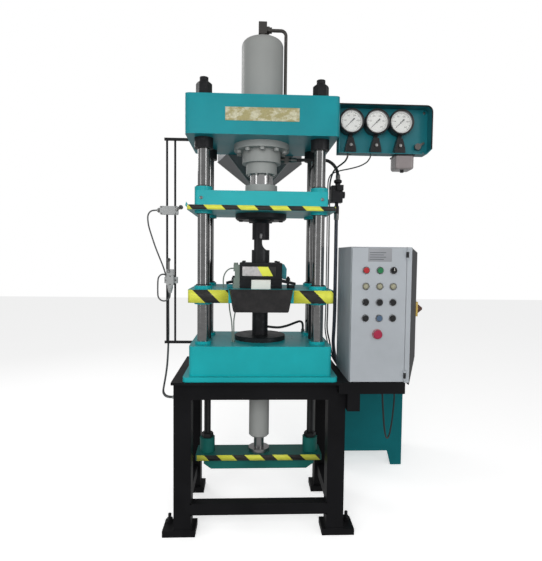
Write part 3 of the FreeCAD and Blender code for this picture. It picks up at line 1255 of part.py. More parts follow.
def hopper_shape(inset, rim_z, neck_z):
    """The hopper as a solid: an upright rim, a funnel below it and a round neck."""
    y0 = CROWN_Y + inset
    y1 = CROWN_Y + HOPPER_DEEP - inset
    front, back = HOPPER_TOP_X0 - inset, HOPPER_TOP_X1 - inset
    rim = Part.makeLoft([hopper_ring(HOPPER_KNEE_Z, front, back, y0, y1),
                         hopper_ring(rim_z, front, back, y0, y1)], True, True)
    r = HOPPER_NECK_R - inset
    y = HOPPER_NECK_Y
    mouth = hopper_ring(HOPPER_MOUTH_Z + inset, r * 1.7, r * 2.2, y - r * 1.4, y + r * 1.4)
    funnel = Part.makeLoft([mouth, hopper_ring(HOPPER_KNEE_Z, front, back, y0, y1)], True, True)
    neck = post(r, neck_z, HOPPER_MOUTH_Z + inset + 2, 0, y)
    return fuse_all([rim, funnel, neck])


def powder_hopper():
    low = HOPPER_MOUTH_Z - HOPPER_NECK_TALL
    outer = hopper_shape(0, HOPPER_RIM_Z, low)
    inner = hopper_shape(HOPPER_SHEET, HOPPER_RIM_Z + 1, low - 1)
    return outer.cut(inner)


# ================================================================ build
def main():
    os.makedirs("parts", exist_ok=True)
    save("stand_frame", *stand_frame())
    save("bed", bed())
    save("columns", *columns())
    save("column_nuts", *column_nuts())
    save("crown", crown())
    save("main_cylinder", main_cylinder())
    save("cylinder_gland", cylinder_gland())
    save("lower_pedestal", lower_pedestal())
    save("powder_hopper", powder_hopper())
    save("main_ram", main_ram())
    save("ram_collar", ram_collar())
    save("upper_platen", upper_platen())
    save("ram_bushes", *bushes(UPPER_BASE_Z - BOSS_DOWN + 2, UPPER_TOP + UPPER_BOSS_UP + 2))
    save("punch_adaptor", punch_adaptor())
    save("upper_punch", upper_punch())
    save("die_platen", die_platen())
    save("die_bushes", *bushes(DIE_PLATEN_Z - BOSS_DOWN + 2, DIE_TOP + DIE_BOSS_UP + 2))
    save("tie_rods", *tie_rods())
    save("lower_beam", lower_beam())
    save("lower_ram", lower_ram())
    save("lower_cylinder", lower_cylinder())
    save("die_block", die_block())
    save("slide_block", slide_block())
    save("chute_tray", chute_tray())
    save("die_clamps", *die_clamps())
    save("air_valve", *air_valve())
    save("cabinet", cabinet())
    save("cabinet_duct", cabinet_duct())
    save("cabinet_door", cabinet_door())
    save("emergency_stop", emergency_stop())
    save("mode_selector", mode_selector())
    places = {"red_button": (COLUMN_1, ROW_1), "green_button": (COLUMN_2, ROW_1),
              "black_button_1": (COLUMN_1, ROW_3), "black_button_2": (COLUMN_2, ROW_3),
              "black_button_3": (COLUMN_3, ROW_3), "black_button_4": (COLUMN_1, ROW_4),
              "blue_button": (COLUMN_2, ROW_4), "black_button_5": (COLUMN_3, ROW_4)}
    for name, (x, z) in places.items():
        save(name, push_button(x, z))
    save("main_switch_handle", main_switch_handle())
    save("gauge_panel", gauge_panel())
    save("gauge_cases", *gauge_cases())
    for k, x in enumerate(GAUGE_X, 1):
        save(f"gauge_needle_{k}", gauge_needle(x))
    save("panel_lever", panel_lever())
    save("filter_bowl", filter_bowl())
    save("steel_pipes", *steel_pipes())
    save("hydraulic_hoses", *hydraulic_hoses())
    save("pressure_hose", pressure_hose())
    save("flow_valve", *flow_valve())
    save("limit_rail", *limit_rail())
    save("limit_switches", *limit_switches())
    save("upper_switch_lever", upper_switch_lever())
    save("lower_switch_lever", lower_switch_lever())
    save("upper_switch_lead", upper_switch_lead())
    save("lower_switch_lead", lower_switch_lead())
    save("motor_lead", motor_lead())
    save("oil_tank", *oil_tank())
    save("pump_set", *pump_set())


main()
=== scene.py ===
"""Finishes, fittings and trim for a four-column hydraulic press, built round its packed model.

The file is laid out as an add-on: settings, one operator for each group of pieces, and a panel.
It is run as a script. All positions are in metres in the model's own frame: X right, Y back, Z up.
"""

import math

import bmesh
import bpy
from bpy.props import FloatProperty, FloatVectorProperty, IntProperty, PointerProperty
from mathutils import Matrix, Vector


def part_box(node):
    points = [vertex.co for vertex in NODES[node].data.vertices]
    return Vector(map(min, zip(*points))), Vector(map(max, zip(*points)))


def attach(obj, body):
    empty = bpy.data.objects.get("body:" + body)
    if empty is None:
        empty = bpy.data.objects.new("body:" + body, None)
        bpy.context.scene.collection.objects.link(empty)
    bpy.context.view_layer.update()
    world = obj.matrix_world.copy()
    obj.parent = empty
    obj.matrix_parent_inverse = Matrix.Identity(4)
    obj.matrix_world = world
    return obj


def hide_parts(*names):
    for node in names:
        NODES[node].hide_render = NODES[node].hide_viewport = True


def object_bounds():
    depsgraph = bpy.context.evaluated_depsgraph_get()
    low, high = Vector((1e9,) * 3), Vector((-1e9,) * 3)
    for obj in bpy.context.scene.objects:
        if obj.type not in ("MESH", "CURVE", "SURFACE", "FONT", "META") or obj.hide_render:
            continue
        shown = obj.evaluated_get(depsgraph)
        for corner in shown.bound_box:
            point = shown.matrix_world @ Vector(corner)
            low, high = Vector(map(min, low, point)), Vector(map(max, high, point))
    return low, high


bl_info = {
    "name": "Hydraulic press dressing",
    "version": (1, 0, 0),
    "blender": (4, 5, 0),
    "location": "View3D > Sidebar > Press",
    "description": "Builds the finishes, fittings and trim of a four-column hydraulic press",
    "category": "Object",
}

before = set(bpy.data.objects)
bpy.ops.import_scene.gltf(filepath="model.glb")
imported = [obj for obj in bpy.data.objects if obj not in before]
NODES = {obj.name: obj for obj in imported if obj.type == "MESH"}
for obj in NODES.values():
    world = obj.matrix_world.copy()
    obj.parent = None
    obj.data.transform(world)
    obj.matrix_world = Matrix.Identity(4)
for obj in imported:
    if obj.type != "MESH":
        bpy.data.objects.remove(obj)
CAD_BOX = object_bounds()
MM = 0.001
TRAY_LEAN = 0.196
TURN = 2 * math.pi
X_AXIS = Vector((1, 0, 0))
Y_AXIS = Vector((0, 1, 0))
Z_AXIS = Vector((0, 0, 1))
FRAME_BODY = "press_frame"
SCREW_SIDES = 24
DOOR_FRONT = -0.245


# ---------------------------------------------------------------- settings
def colour_setting(label, about, value):
    return FloatVectorProperty(name=label, description=about, subtype="COLOR", size=3, min=0, max=1,
                               default=value)


def length_setting(label, about, value):
    return FloatProperty(name=label, description=about, unit="LENGTH", min=0, default=value)


class PressColours(bpy.types.PropertyGroup):
    """Paint and trim colours."""
    teal: colour_setting("Frame paint", "Enamel on the platens and the bed", (0.006, 0.370, 0.400))
    # The crown's deeper teal is painted shade: the platens' own paint, darkened for the weaker light up at
    # the crown.
    crown: colour_setting("Crown paint", "Enamel on the crown, a little deeper", (0.004, 0.245, 0.285))
    beam: colour_setting("Beam paint", "Older, greener enamel on the lower beam", (0.012, 0.130, 0.112))
    panel: colour_setting("Panel paint", "Enamel on the gauge panel", (0.006, 0.150, 0.180))
    # The tank's dark teal is painted shade: the frame's paint, darkened because the tank stands low and in
    # shade.
    tank: colour_setting("Tank paint", "Enamel on the oil tank", (0.005, 0.150, 0.170))
    stand: colour_setting("Stand paint", "Black enamel on the welded stand", (0.008, 0.008, 0.009))
    cylinder: colour_setting("Cylinder paint", "Light grey enamel on the cylinders", (0.31, 0.32, 0.31))
    cabinet: colour_setting("Cabinet paint", "Powder coat on the cabinet and its door", (0.415, 0.445, 0.475))
    # The side cover's near-black colour is partly painted shade: the shade on the cabinet's right-hand side
    # is put into its coat.
    duct: colour_setting("Side cover paint", "Coat on the cabinet's side cover", (0.035, 0.037, 0.040))
    tape: colour_setting("Tape yellow", "The yellow of the hazard tape", (0.80, 0.83, 0.085))


class PressSizes(bpy.types.PropertyGroup):
    """Sizes of the trim."""
    tape_pitch: length_setting("Tape pitch", "Distance from one yellow bar to the next on the platens", 0.147)
    tape_yellow: length_setting("Yellow bar", "Width of a yellow bar along the tape", 0.079)
    beam_pitch: length_setting("Beam tape pitch", "Distance between bars on the lower beam", 0.137)
    cap_screw: length_setting("Cap screw head", "Head radius of the cylinder's cap screws", 0.010)
    dial_marks: IntProperty(name="Dial marks", description="Fine marks round a gauge dial", min=10, max=200,
                            default=50)
    lens_mm: FloatProperty(name="Lens", description="Focal length of the camera", min=5, max=200,
                           default=29.906)


class PressSettings(bpy.types.PropertyGroup):
    """Everything a user would change."""
    colours: PointerProperty(type=PressColours)
    sizes: PointerProperty(type=PressSizes)


def settings():
    return bpy.context.scene.press


# ---------------------------------------------------------------- materials
MATERIALS = {}


class Graph:
    """A new material and short ways to add nodes to it."""

    def __init__(self, name):
        self.material = bpy.data.materials.new(name)
        self.material.use_nodes = True
        self.tree = self.material.node_tree
        self.shader = self.tree.nodes["Principled BSDF"]
        self.coords = self.node("ShaderNodeTexCoord").outputs["Object"]

    def node(self, kind, **values):
        made = self.tree.nodes.new(kind)
        for key, value in values.items():
            setattr(made, key, value)
        return made

    def link(self, source, target):
        self.tree.links.new(source, target)

    def placed(self, scale=(1, 1, 1), move=(0, 0, 0), turn=(0, 0, 0)):
        mapping = self.node("ShaderNodeMapping")
        mapping.inputs["Scale"].default_value = scale
        mapping.inputs["Location"].default_value = move
        mapping.inputs["Rotation"].default_value = turn
        self.link(self.coords, mapping.inputs["Vector"])
        return mapping.outputs["Vector"]

    def noise(self, vector, scale, detail=3.0, rough=0.55):
        made = self.node("ShaderNodeTexNoise")
        made.inputs["Scale"].default_value = scale
        made.inputs["Detail"].default_value = detail
        made.inputs["Roughness"].default_value = rough
        self.link(vector, made.inputs["Vector"])
        return made.outputs["Fac"]

    def spread(self, value, low, high, from_low=0.3, from_high=0.7):
        made = self.node("ShaderNodeMapRange")
        limits = {"From Min": from_low, "From Max": from_high, "To Min": low, "To Max": high}
        for key, number in limits.items():
            made.inputs[key].default_value = number
        self.link(value, made.inputs["Value"])
        return made.outputs["Result"]

    def maths(self, operation, first, second=None):
        made = self.node("ShaderNodeMath", operation=operation)
        for socket, value in zip(made.inputs, (first, second)):
            if value is None:
                continue
            if isinstance(value, (int, float)):
                socket.default_value = value
            else:
                self.link(value, socket)
        return made.outputs["Value"]

    def blend(self, factor, first, second):
        made = self.node("ShaderNodeMix", data_type="RGBA")
        self.link(factor, made.inputs["Factor"])
        for socket, value in ((made.inputs["A"], first), (made.inputs["B"], second)):
            if isinstance(value, tuple):
                socket.default_value = (*value, 1)
            else:
                self.link(value, socket)
        return made.outputs["Result"]

    def axis(self, name):
        split = self.node("ShaderNodeSeparateXYZ")
        self.link(self.coords, split.inputs["Vector"])
        return split.outputs[name]

    def bump(self, height, strength, distance=0.001):
        made = self.node("ShaderNodeBump")
        made.inputs["Strength"].default_value = strength
        made.inputs["Distance"].default_value = distance
        self.link(height, made.inputs["Height"])
        self.link(made.outputs["Normal"], self.shader.inputs["Normal"])

    def set(self, **sockets):
        for key, value in sockets.items():
            socket = self.shader.inputs[key.replace("_", " ")]
            if isinstance(value, (int, float)):
                socket.default_value = value
            elif isinstance(value, tuple):
                socket.default_value = (*value, 1) if len(value) == 3 else value
            else:
                self.link(value, socket)
        return self


def shade(colour, factor):
    return tuple(min(1.0, c * factor) for c in colour)


def keep(name, graph):
    MATERIALS[name] = graph.material
    return graph


def enamel(name, colour, roughness=0.32, mottle=0.10, peel=0.12, coat=0.25, shine=0.5):
    """Brushed or sprayed enamel: faint cloudiness, orange peel and a few dull scuffs."""
    g = Graph(name)
    cloud = g.noise(g.placed(), 5.0, 4)
    scuff = g.noise(g.placed(scale=(1, 1, 2.5), move=(3, 1, 7)), 26.0, 6, 0.7)
    body = g.blend(g.spread(cloud, 0, 1), shade(colour, 1 - mottle), shade(colour, 1 + mottle))
    dusty = g.blend(g.spread(scuff, 0, 0.28, 0.60, 0.80), body, shade(colour, 0.62))
    rough = g.maths("ADD", g.spread(cloud, -0.05, 0.06), g.spread(scuff, 0.0, 0.16, 0.58, 0.78))
    g.set(Base_Color=dusty, Roughness=g.maths("ADD", rough, roughness), Coat_Weight=coat, Coat_Roughness=0.25,
          Specular_IOR_Level=shine)
    g.bump(g.noise(g.placed(), 260.0, 2), peel, 0.0006)
    return keep(name, g)


def coated(name, colour, roughness=0.5, grain=700.0, depth=0.25):
    """Textured powder coat or moulded plastic with a fine grain."""
    g = Graph(name)
    cloud = g.noise(g.placed(), 7.0, 3)
    fine = g.noise(g.placed(), grain, 2)
    g.set(Base_Color=g.blend(g.spread(cloud, 0, 1), shade(colour, 0.94), shade(colour, 1.05)),
          Roughness=g.spread(fine, roughness - 0.06, roughness + 0.07))
    g.bump(fine, depth, 0.0004)
    return keep(name, g)


def bright_metal(name, colour, roughness=0.25, stretch=(1, 1, 40), scale=18.0, depth=0.05, dark=0.75):
    """Turned, ground or drawn metal with fine lines along one direction."""
    g = Graph(name)
    lines = g.noise(g.placed(scale=stretch), scale, 5, 0.65)
    film = g.noise(g.placed(), 9.0, 4)
    tone = g.blend(g.spread(lines, 0, 1), shade(colour, dark), colour)
    rough = g.maths("ADD", g.spread(lines, roughness - 0.05, roughness + 0.08), g.spread(film, -0.03, 0.05))
    filmed = g.blend(g.spread(film, 0, 0.5), tone, shade(colour, 0.80))
    g.set(Base_Color=filmed, Metallic=1.0, Roughness=rough)
    g.bump(lines, depth, 0.0002)
    return keep(name, g)


def dark_metal(name, colour, roughness=0.42, metallic=0.55):
    """Oiled, blackened steel with rubbed patches."""
    g = Graph(name)
    rubbed = g.noise(g.placed(scale=(1, 1, 1.6), move=(2, 5, 1)), 34.0, 6, 0.7)
    cloud = g.noise(g.placed(), 8.0, 3)
    base = g.blend(g.spread(cloud, 0, 1), shade(colour, 0.75), shade(colour, 1.35))
    worn = g.blend(g.spread(rubbed, 0, 0.35, 0.58, 0.82), base, (0.16, 0.16, 0.17))
    rough = g.maths("ADD", g.spread(rubbed, 0.08, -0.08), roughness)
    g.set(Base_Color=worn, Metallic=metallic, Roughness=rough)
    g.bump(g.noise(g.placed(), 420.0, 3), 0.10, 0.0004)
    return keep(name, g)


def rubber(name, colour, roughness=0.6, weave=0.0):
    """Hose or lead cover; weave above nought adds fine crossed ribs."""
    g = Graph(name)
    grime = g.noise(g.placed(), 45.0, 5, 0.6)
    g.set(Base_Color=g.blend(g.spread(grime, 0, 1), shade(colour, 0.7), shade(colour, 1.6)),
          Roughness=g.spread(grime, roughness - 0.1, roughness + 0.1))
    if weave:
        rise = g.node("ShaderNodeTexWave", wave_type="BANDS", bands_direction="DIAGONAL")
        rise.inputs["Scale"].default_value = weave
        rise.inputs["Distortion"].default_value = 0.4
        g.link(g.placed(), rise.inputs["Vector"])
        g.bump(rise.outputs["Fac"], 0.25, 0.0006)
    else:
        g.bump(g.noise(g.placed(), 500.0, 2), 0.12, 0.0004)
    return keep(name, g)


def striped_tape(name, yellow, pitch, width, lean, shift):
    """Vinyl hazard tape: black and yellow bars that lean, with wrinkles and scuffs."""
    g = Graph(name)
    leaned = g.maths("MULTIPLY", g.axis("Z"), lean)
    along = g.maths("ADD", g.maths("ADD", g.axis("X"), leaned), 10 * pitch + shift)
    bar = g.maths("LESS_THAN", g.maths("FRACT", g.maths("DIVIDE", along, pitch)), width / pitch)
    scuff = g.noise(g.placed(scale=(1, 1, 3)), 40.0, 6, 0.7)
    gold = g.blend(g.spread(scuff, 0, 1), yellow, shade(yellow, 0.78))
    black = g.blend(g.spread(scuff, 0, 1), (0.010, 0.010, 0.011), (0.035, 0.034, 0.030))
    g.set(Base_Color=g.blend(bar, black, gold), Roughness=g.spread(scuff, 0.30, 0.48), Coat_Weight=0.2)
    g.bump(g.noise(g.placed(scale=(1, 1, 4)), 55.0, 4), 0.20, 0.0010)
    return keep(name, g)


def clear(name, colour, alpha, roughness=0.05):
    """Thin clear glass or plastic."""
    g = Graph(name)
    haze = g.noise(g.placed(), 30.0, 3)
    g.set(Base_Color=g.blend(g.spread(haze, 0, 1), colour, shade(colour, 0.9)),
          Roughness=g.spread(haze, roughness, roughness + 0.06), Alpha=alpha, Coat_Weight=1.0)
    return keep(name, g)


def split_by(name, axis, limit, above, below):
    """One finish above a height or past a plane, and another below it, both as simple enamels."""
    g = Graph(name)
    upper = g.maths("GREATER_THAN", g.axis(axis), limit)
    film = g.noise(g.placed(scale=(1, 1, 3)), 24.0, 5, 0.65)
    high = g.blend(g.spread(film, 0, 1), shade(above[0], 0.8), above[0])
    low = g.blend(g.spread(film, 0, 1), shade(below[0], 0.8), below[0])
    metal = g.maths("ADD", g.maths("MULTIPLY", upper, above[2] - below[2]), below[2])
    rough = g.maths("ADD", g.maths("MULTIPLY", upper, above[1] - below[1]),
                    g.spread(film, below[1] - 0.03, below[1] + 0.04))
    g.set(Base_Color=g.blend(upper, low, high), Metallic=metal, Roughness=rough)
    g.bump(film, 0.04, 0.0003)
    return keep(name, g)


def mottled(name, first, second, scale):
    """A printed plate worn to two tones."""
    g = Graph(name)
    patches = g.noise(g.placed(scale=(1, 1, 1.6), move=(4, 2, 9)), scale, 5, 0.6)
    fine = g.noise(g.placed(), scale * 6, 3)
    tone = g.blend(g.spread(patches, 0, 1, 0.42, 0.58), first, second)
    g.set(Base_Color=g.blend(g.spread(fine, 0, 0.35), tone, shade(first, 0.5)), Metallic=0.35,
          Roughness=g.spread(fine, 0.32, 0.48))
    return keep(name, g)


def tray_finish(name):
    """Blackened sheet with rust-brown side walls that lean outwards."""
    g = Graph(name)
    x = g.maths("ABSOLUTE", g.axis("X"))
    lean = g.maths("MULTIPLY", g.maths("SUBTRACT", g.axis("Z"), 1.053), TRAY_LEAN)
    side = g.maths("GREATER_THAN", g.maths("SUBTRACT", x, lean), 0.1345)
    cloud = g.noise(g.placed(), 40.0, 5, 0.65)
    brown = g.blend(g.spread(cloud, 0, 1), (0.070, 0.026, 0.018), (0.150, 0.058, 0.040))
    dark = g.blend(g.spread(cloud, 0, 1), (0.012, 0.012, 0.013), (0.030, 0.028, 0.028))
    g.set(Base_Color=g.blend(side, dark, brown), Roughness=g.spread(cloud, 0.42, 0.58), Metallic=0.2)
    g.bump(cloud, 0.08, 0.0004)
    return keep(name, g)


def hose_finish(name):
    """Dark blue main riser, pale steel gauge lines beside it and black rubber behind."""
    g = Graph(name)
    grime = g.noise(g.placed(), 45.0, 5, 0.6)
    rubber_tone = g.blend(g.spread(grime, 0, 1), (0.012, 0.012, 0.013), (0.030, 0.030, 0.031))
    blue = g.blend(g.spread(grime, 0, 1), (0.030, 0.036, 0.050), (0.060, 0.070, 0.092))
    steel = g.blend(g.spread(grime, 0, 1), (0.30, 0.30, 0.30), (0.42, 0.42, 0.41))
    front = g.maths("LESS_THAN", g.axis("Y"), 0.082)
    thin = g.maths("MULTIPLY", front, g.maths("MULTIPLY", g.maths("LESS_THAN", g.axis("X"), 0.362),
                                              g.maths("GREATER_THAN", g.axis("X"), 0.300)))
    riser = g.maths("GREATER_THAN", g.axis("X"), 0.374)
    g.set(Base_Color=g.blend(thin, g.blend(riser, rubber_tone, blue), steel),
          Roughness=g.spread(grime, 0.42, 0.58), Metallic=g.maths("MULTIPLY", thin, 0.8))
    g.bump(g.noise(g.placed(), 500.0, 2), 0.10, 0.0003)
    return keep(name, g)


def label_print(name, yellow):
    """A plain label: a pale left half, a leaning yellow band and a black right end."""
    g = Graph(name)
    across = g.maths("ADD", g.axis("X"), g.maths("MULTIPLY", g.axis("Z"), 0.55))
    cloud = g.noise(g.placed(), 60.0, 4)
    pale = g.blend(g.spread(cloud, 0, 1), (0.42, 0.40, 0.40), (0.62, 0.58, 0.58))
    past_pale = g.maths("GREATER_THAN", across, 0.6715)
    past_band = g.maths("GREATER_THAN", across, 0.7215)
    g.set(Base_Color=g.blend(past_band, g.blend(past_pale, pale, yellow), (0.02, 0.02, 0.02)),
          Roughness=g.spread(cloud, 0.35, 0.5))
    return keep(name, g)


def plain_floor(name, colour, glow):
    """A pale seamless floor that glows faintly, so that its far edge melts into the background."""
    g = Graph(name)
    g.set(Base_Color=colour, Roughness=0.9, Specular_IOR_Level=0.0, Emission_Color=colour,
          Emission_Strength=glow)
    return keep(name, g)


def make_materials():
    c = settings().colours
    s = settings().sizes
    enamel("teal_enamel", tuple(c.teal), coat=0.1, shine=0.35)
    # Painted shade: the crown gets a darker copy of the frame's teal, standing in for the weaker light up
    # there.
    enamel("crown_shaded_enamel", tuple(c.crown), coat=0.08, shine=0.3)
    enamel("beam_enamel", tuple(c.beam), roughness=0.42, mottle=0.2, coat=0.0, shine=0.2)
    enamel("panel_enamel", tuple(c.panel), roughness=0.36, coat=0.05)
    # Painted shade: the tank gets a much darker copy of the frame's teal, for the shade it stands in.
    enamel("tank_shaded_enamel", tuple(c.tank), roughness=0.40, coat=0.0, shine=0.15)
    enamel("black_enamel", tuple(c.stand), roughness=0.46, mottle=0.25, coat=0.0, shine=0.12)
    enamel("grey_enamel", tuple(c.cylinder), roughness=0.40, mottle=0.05, coat=0.05)
    coated("cabinet_coat", tuple(c.cabinet), 0.42)
    # Partly painted shade: the side cover's coat is made near black to stand for the shade on that side.
    coated("duct_shaded_coat", tuple(c.duct), 0.45)
    coated("pump_coat", (0.075, 0.085, 0.095), 0.45)
    bright_metal("ground_chrome", (0.80, 0.80, 0.80), 0.14, (1, 1, 30))
    split_by("column_finish", "Z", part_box("crown")[1].z + 0.0005, ((0.02, 0.02, 0.022), 0.45, 0.3),
             ((0.42, 0.42, 0.42), 0.13, 1.0))
    bright_metal("turned_steel", (0.50, 0.50, 0.50), 0.30, (1, 1, 60))
    bright_metal("sheet_steel", (0.24, 0.25, 0.26), 0.42, (1, 1, 1), 14.0, 0.08, 0.7)
    bright_metal("light_alloy", (0.55, 0.55, 0.54), 0.38, (30, 1, 1), 16.0)
    bright_metal("pipe_steel", (0.21, 0.20, 0.19), 0.36, (8, 8, 8), 30.0)
    bright_metal("plated_fittings", (0.42, 0.42, 0.41), 0.32, (8, 8, 8), 30.0)
    dark_metal("blackened_steel", (0.022, 0.022, 0.024))
    dark_metal("tool_steel", (0.035, 0.036, 0.038), 0.36, 0.7)
    coated("white_plastic", (0.80, 0.79, 0.73), 0.38)
    coated("black_plastic", (0.014, 0.014, 0.015), 0.30)
    coated("red_plastic", (0.42, 0.025, 0.030), 0.26)
    coated("stop_plastic", (0.36, 0.022, 0.060), 0.30)
    coated("green_plastic", (0.020, 0.17, 0.065), 0.26)
    coated("slate_plastic", (0.075, 0.125, 0.200), 0.28)
    coated("cream_plastic", (0.35, 0.34, 0.24), 0.25)
    coated("valve_metal", (0.17, 0.21, 0.18), 0.40)
    coated("yellow_plate", (0.62, 0.43, 0.10), 0.40)
    coated("handle_plastic", (0.10, 0.045, 0.028), 0.35)
    coated("switch_cast", (0.36, 0.37, 0.37), 0.45)
    coated("dial_face", (0.80, 0.80, 0.77), 0.50)
    coated("print_black", (0.012, 0.012, 0.012), 0.50)
    mottled("plate_brass", (0.46, 0.41, 0.20), (0.72, 0.70, 0.52), 30.0)
    coated("rating_alloy", (0.30, 0.31, 0.33), 0.40)
    rubber("hose_rubber", (0.018, 0.018, 0.019), 0.55, 180.0)
    rubber("lead_sheath", (0.085, 0.088, 0.090), 0.55)
    rubber("wiper_rubber", (0.015, 0.015, 0.016), 0.65)
    clear("gauge_glass", (0.95, 0.97, 0.97), 0.10)
    clear("smoky_bowl", (0.35, 0.31, 0.31), 0.72, 0.12)
    tray_finish("tray_finish")
    hose_finish("hose_finish")
    tape = tuple(c.tape)
    label_print("label_print", tape)
    for name, shift in (("left_platen_tape", 0.122), ("right_platen_tape", 0.084), ("upper_tape", 0.057)):
        striped_tape(name, tape, s.tape_pitch, s.tape_yellow, 1.0, shift)
    striped_tape("beam_tape", tape, s.beam_pitch, 0.075, 1.0, 0.02)
    plain_floor("floor_paint", (0.90, 0.90, 0.90), 0.62)


# ---------------------------------------------------------------- mesh helpers
def aimed(centre, direction):
    """A matrix that puts a shape's own Z along a direction at a place."""
    turn = Vector(direction).normalized().to_track_quat("Z", "Y").to_matrix().to_4x4()
    return Matrix.Translation(Vector(centre)) @ turn


def edges_of(verts):
    return list({edge for vert in verts for edge in vert.link_edges})


def round_edges(bm, edges, width, steps=2):
    bmesh.ops.bevel(bm, geom=edges, offset=width, offset_type="OFFSET", segments=steps, profile=0.5,
                    affect="EDGES", material=-1)


def add_block(bm, low, high, edge=0.0, steps=2):
    """A block between two corners, its edges rounded."""
    low, high = Vector(low), Vector(high)
    verts = bmesh.ops.create_cube(bm, size=1)["verts"]
    bmesh.ops.scale(bm, vec=high - low, verts=verts)
    bmesh.ops.translate(bm, vec=(low + high) / 2, verts=verts)
    if edge:
        round_edges(bm, edges_of(verts), edge, steps)


def add_rod(bm, start, end, r, sides=32, edge=0.0, r_end=None):
    """A rod or cone between two points, its rims rounded."""
    start, end = Vector(start), Vector(end)
    place = aimed((start + end) / 2, end - start)
    far_r = r if r_end is None else r_end
    verts = bmesh.ops.create_cone(bm, cap_ends=True, segments=sides, radius1=r, radius2=far_r,
                                  depth=(end - start).length, matrix=place)["verts"]
    if edge:
        rims = [e for e in edges_of(verts) if any(len(f.verts) == sides for f in e.link_faces)]
        round_edges(bm, rims, edge)


def add_turned(bm, profile, centre, direction, steps=48):
    """A shape of revolution from (radius, height) points, its height along a direction."""
    place = aimed(centre, direction)
    verts = [bm.verts.new((r, 0, h)) for r, h in profile]
    edges = [bm.edges.new(pair) for pair in zip(verts, verts[1:])]
    bmesh.ops.spin(bm, geom=verts + edges, cent=(0, 0, 0), axis=(0, 0, 1), angle=TURN, steps=steps,
                   use_merge=True)
    fresh = [v for v in bm.verts if not v.tag]
    bmesh.ops.transform(bm, matrix=place, verts=fresh)
    bmesh.ops.remove_doubles(bm, verts=fresh, dist=1e-6)
    for v in bm.verts:
        v.tag = True


def mark_old(bm):
    """Tags what is already there, so that the next turned shape moves alone."""
    for v in bm.verts:
        v.tag = True


def add_cap_screw(bm, at, direction, r, tall):
    """A socket cap screw's head with its socket."""
    at = Vector(at)
    out = Vector(direction).normalized()
    end = at + out * tall
    place = aimed((at + end) / 2, out)
    verts = bmesh.ops.create_cone(bm, cap_ends=True, segments=SCREW_SIDES, radius1=r, radius2=r, depth=tall,
                                  matrix=place)["verts"]
    caps = [f for f in {f for v in verts for f in v.link_faces} if len(f.verts) == SCREW_SIDES]
    top = [f for f in caps if (f.calc_center_median() - end).length < tall * 0.01]
    bmesh.ops.inset_region(bm, faces=top, thickness=r * 0.42, depth=0)
    bmesh.ops.translate(bm, vec=-out * tall * 0.5, verts=list(top[0].verts))


def add_hex(bm, at, direction, flats, tall, washer=0.0):
    """A hexagon head or nut, with a washer under it."""
    at = Vector(at)
    out = Vector(direction).normalized()
    if washer:
        add_rod(bm, at, at + out * washer, flats * 0.66, 28, washer * 0.3)
    place = aimed(at + out * (washer + tall / 2), out)
    verts = bmesh.ops.create_cone(bm, cap_ends=True, segments=6, radius1=flats * 0.577, radius2=flats * 0.577,
                                  depth=tall, matrix=place)["verts"]
    round_edges(bm, edges_of(verts), tall * 0.09)


def add_ring(bm, centre, direction, r_in, r_out, tall, edge=0.0, steps=48):
    """A flat ring standing on its centre point."""
    mark_old(bm)
    e = min(edge, tall * 0.45, (r_out - r_in) * 0.45)
    profile = [(r_in, 0), (r_out, 0), (r_out, tall - e), (r_out - e, tall), (r_in + e, tall),
               (r_in, tall - e), (r_in, 0)]
    add_turned(bm, profile, centre, direction, steps)


def make_piece(name, bm, material, body, angle=35):
    """Turns a bmesh into a named piece with a finish, riding on a body."""
    bmesh.ops.remove_doubles(bm, verts=bm.verts, dist=1e-7)
    bmesh.ops.recalc_face_normals(bm, faces=bm.faces)
    mesh = bpy.data.meshes.new(name)
    bm.to_mesh(mesh)
    bm.free()
    mesh.materials.append(MATERIALS[material])
    mesh.shade_smooth()
    mesh.set_sharp_from_angle(angle=math.radians(angle))
    piece = bpy.data.objects.new(name, mesh)
    bpy.context.scene.collection.objects.link(piece)
    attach(piece, body)
    return piece


def around(centre, r, count, start=0.0):
    """Places round an upright axis."""
    cx, cy, cz = centre
    return [(cx + r * math.cos(start + TURN * k / count), cy + r * math.sin(start + TURN * k / count), cz)
            for k in range(count)]


# ---------------------------------------------------------------- finishes on the packed nodes
FINISHES = {
    "stand_frame": "black_enamel", "bed": "teal_enamel", "columns": "column_finish",
    "column_nuts": "blackened_steel",
    "crown": "crown_shaded_enamel", "main_cylinder": "grey_enamel", "cylinder_gland": "grey_enamel",
    "lower_pedestal": "blackened_steel", "powder_hopper": "sheet_steel", "main_ram": "ground_chrome",
    "ram_collar": "grey_enamel", "upper_platen": "teal_enamel", "ram_bushes": "turned_steel",
    "punch_adaptor": "blackened_steel", "upper_punch": "tool_steel", "die_platen": "teal_enamel",
    "die_bushes": "turned_steel", "tie_rods": "tool_steel", "lower_beam": "beam_enamel",
    "lower_ram": "turned_steel",
    "lower_cylinder": "grey_enamel", "die_block": "blackened_steel", "slide_block": "white_plastic",
    "chute_tray": "tray_finish", "die_clamps": "clamp_finish", "air_valve": "valve_metal",
    "cabinet": "cabinet_coat", "cabinet_duct": "duct_shaded_coat", "cabinet_door": "cabinet_coat",
    "emergency_stop": "stop_plastic", "mode_selector": "black_plastic", "red_button": "red_plastic",
    "green_button": "green_plastic", "blue_button": "slate_plastic", "main_switch_handle": "handle_plastic",
    "gauge_panel": "panel_enamel", "gauge_cases": "black_plastic", "panel_lever": "pipe_steel",
    "filter_bowl": "smoky_bowl", "steel_pipes": "pipe_steel", "hydraulic_hoses": "hose_finish",
    "flow_valve": "blackened_steel", "limit_rail": "blackened_steel", "limit_switches": "switch_cast",
    "upper_switch_lever": "light_alloy", "lower_switch_lever": "light_alloy", "oil_tank": "tank_shaded_enamel",
    "pump_set": "pump_coat",
}


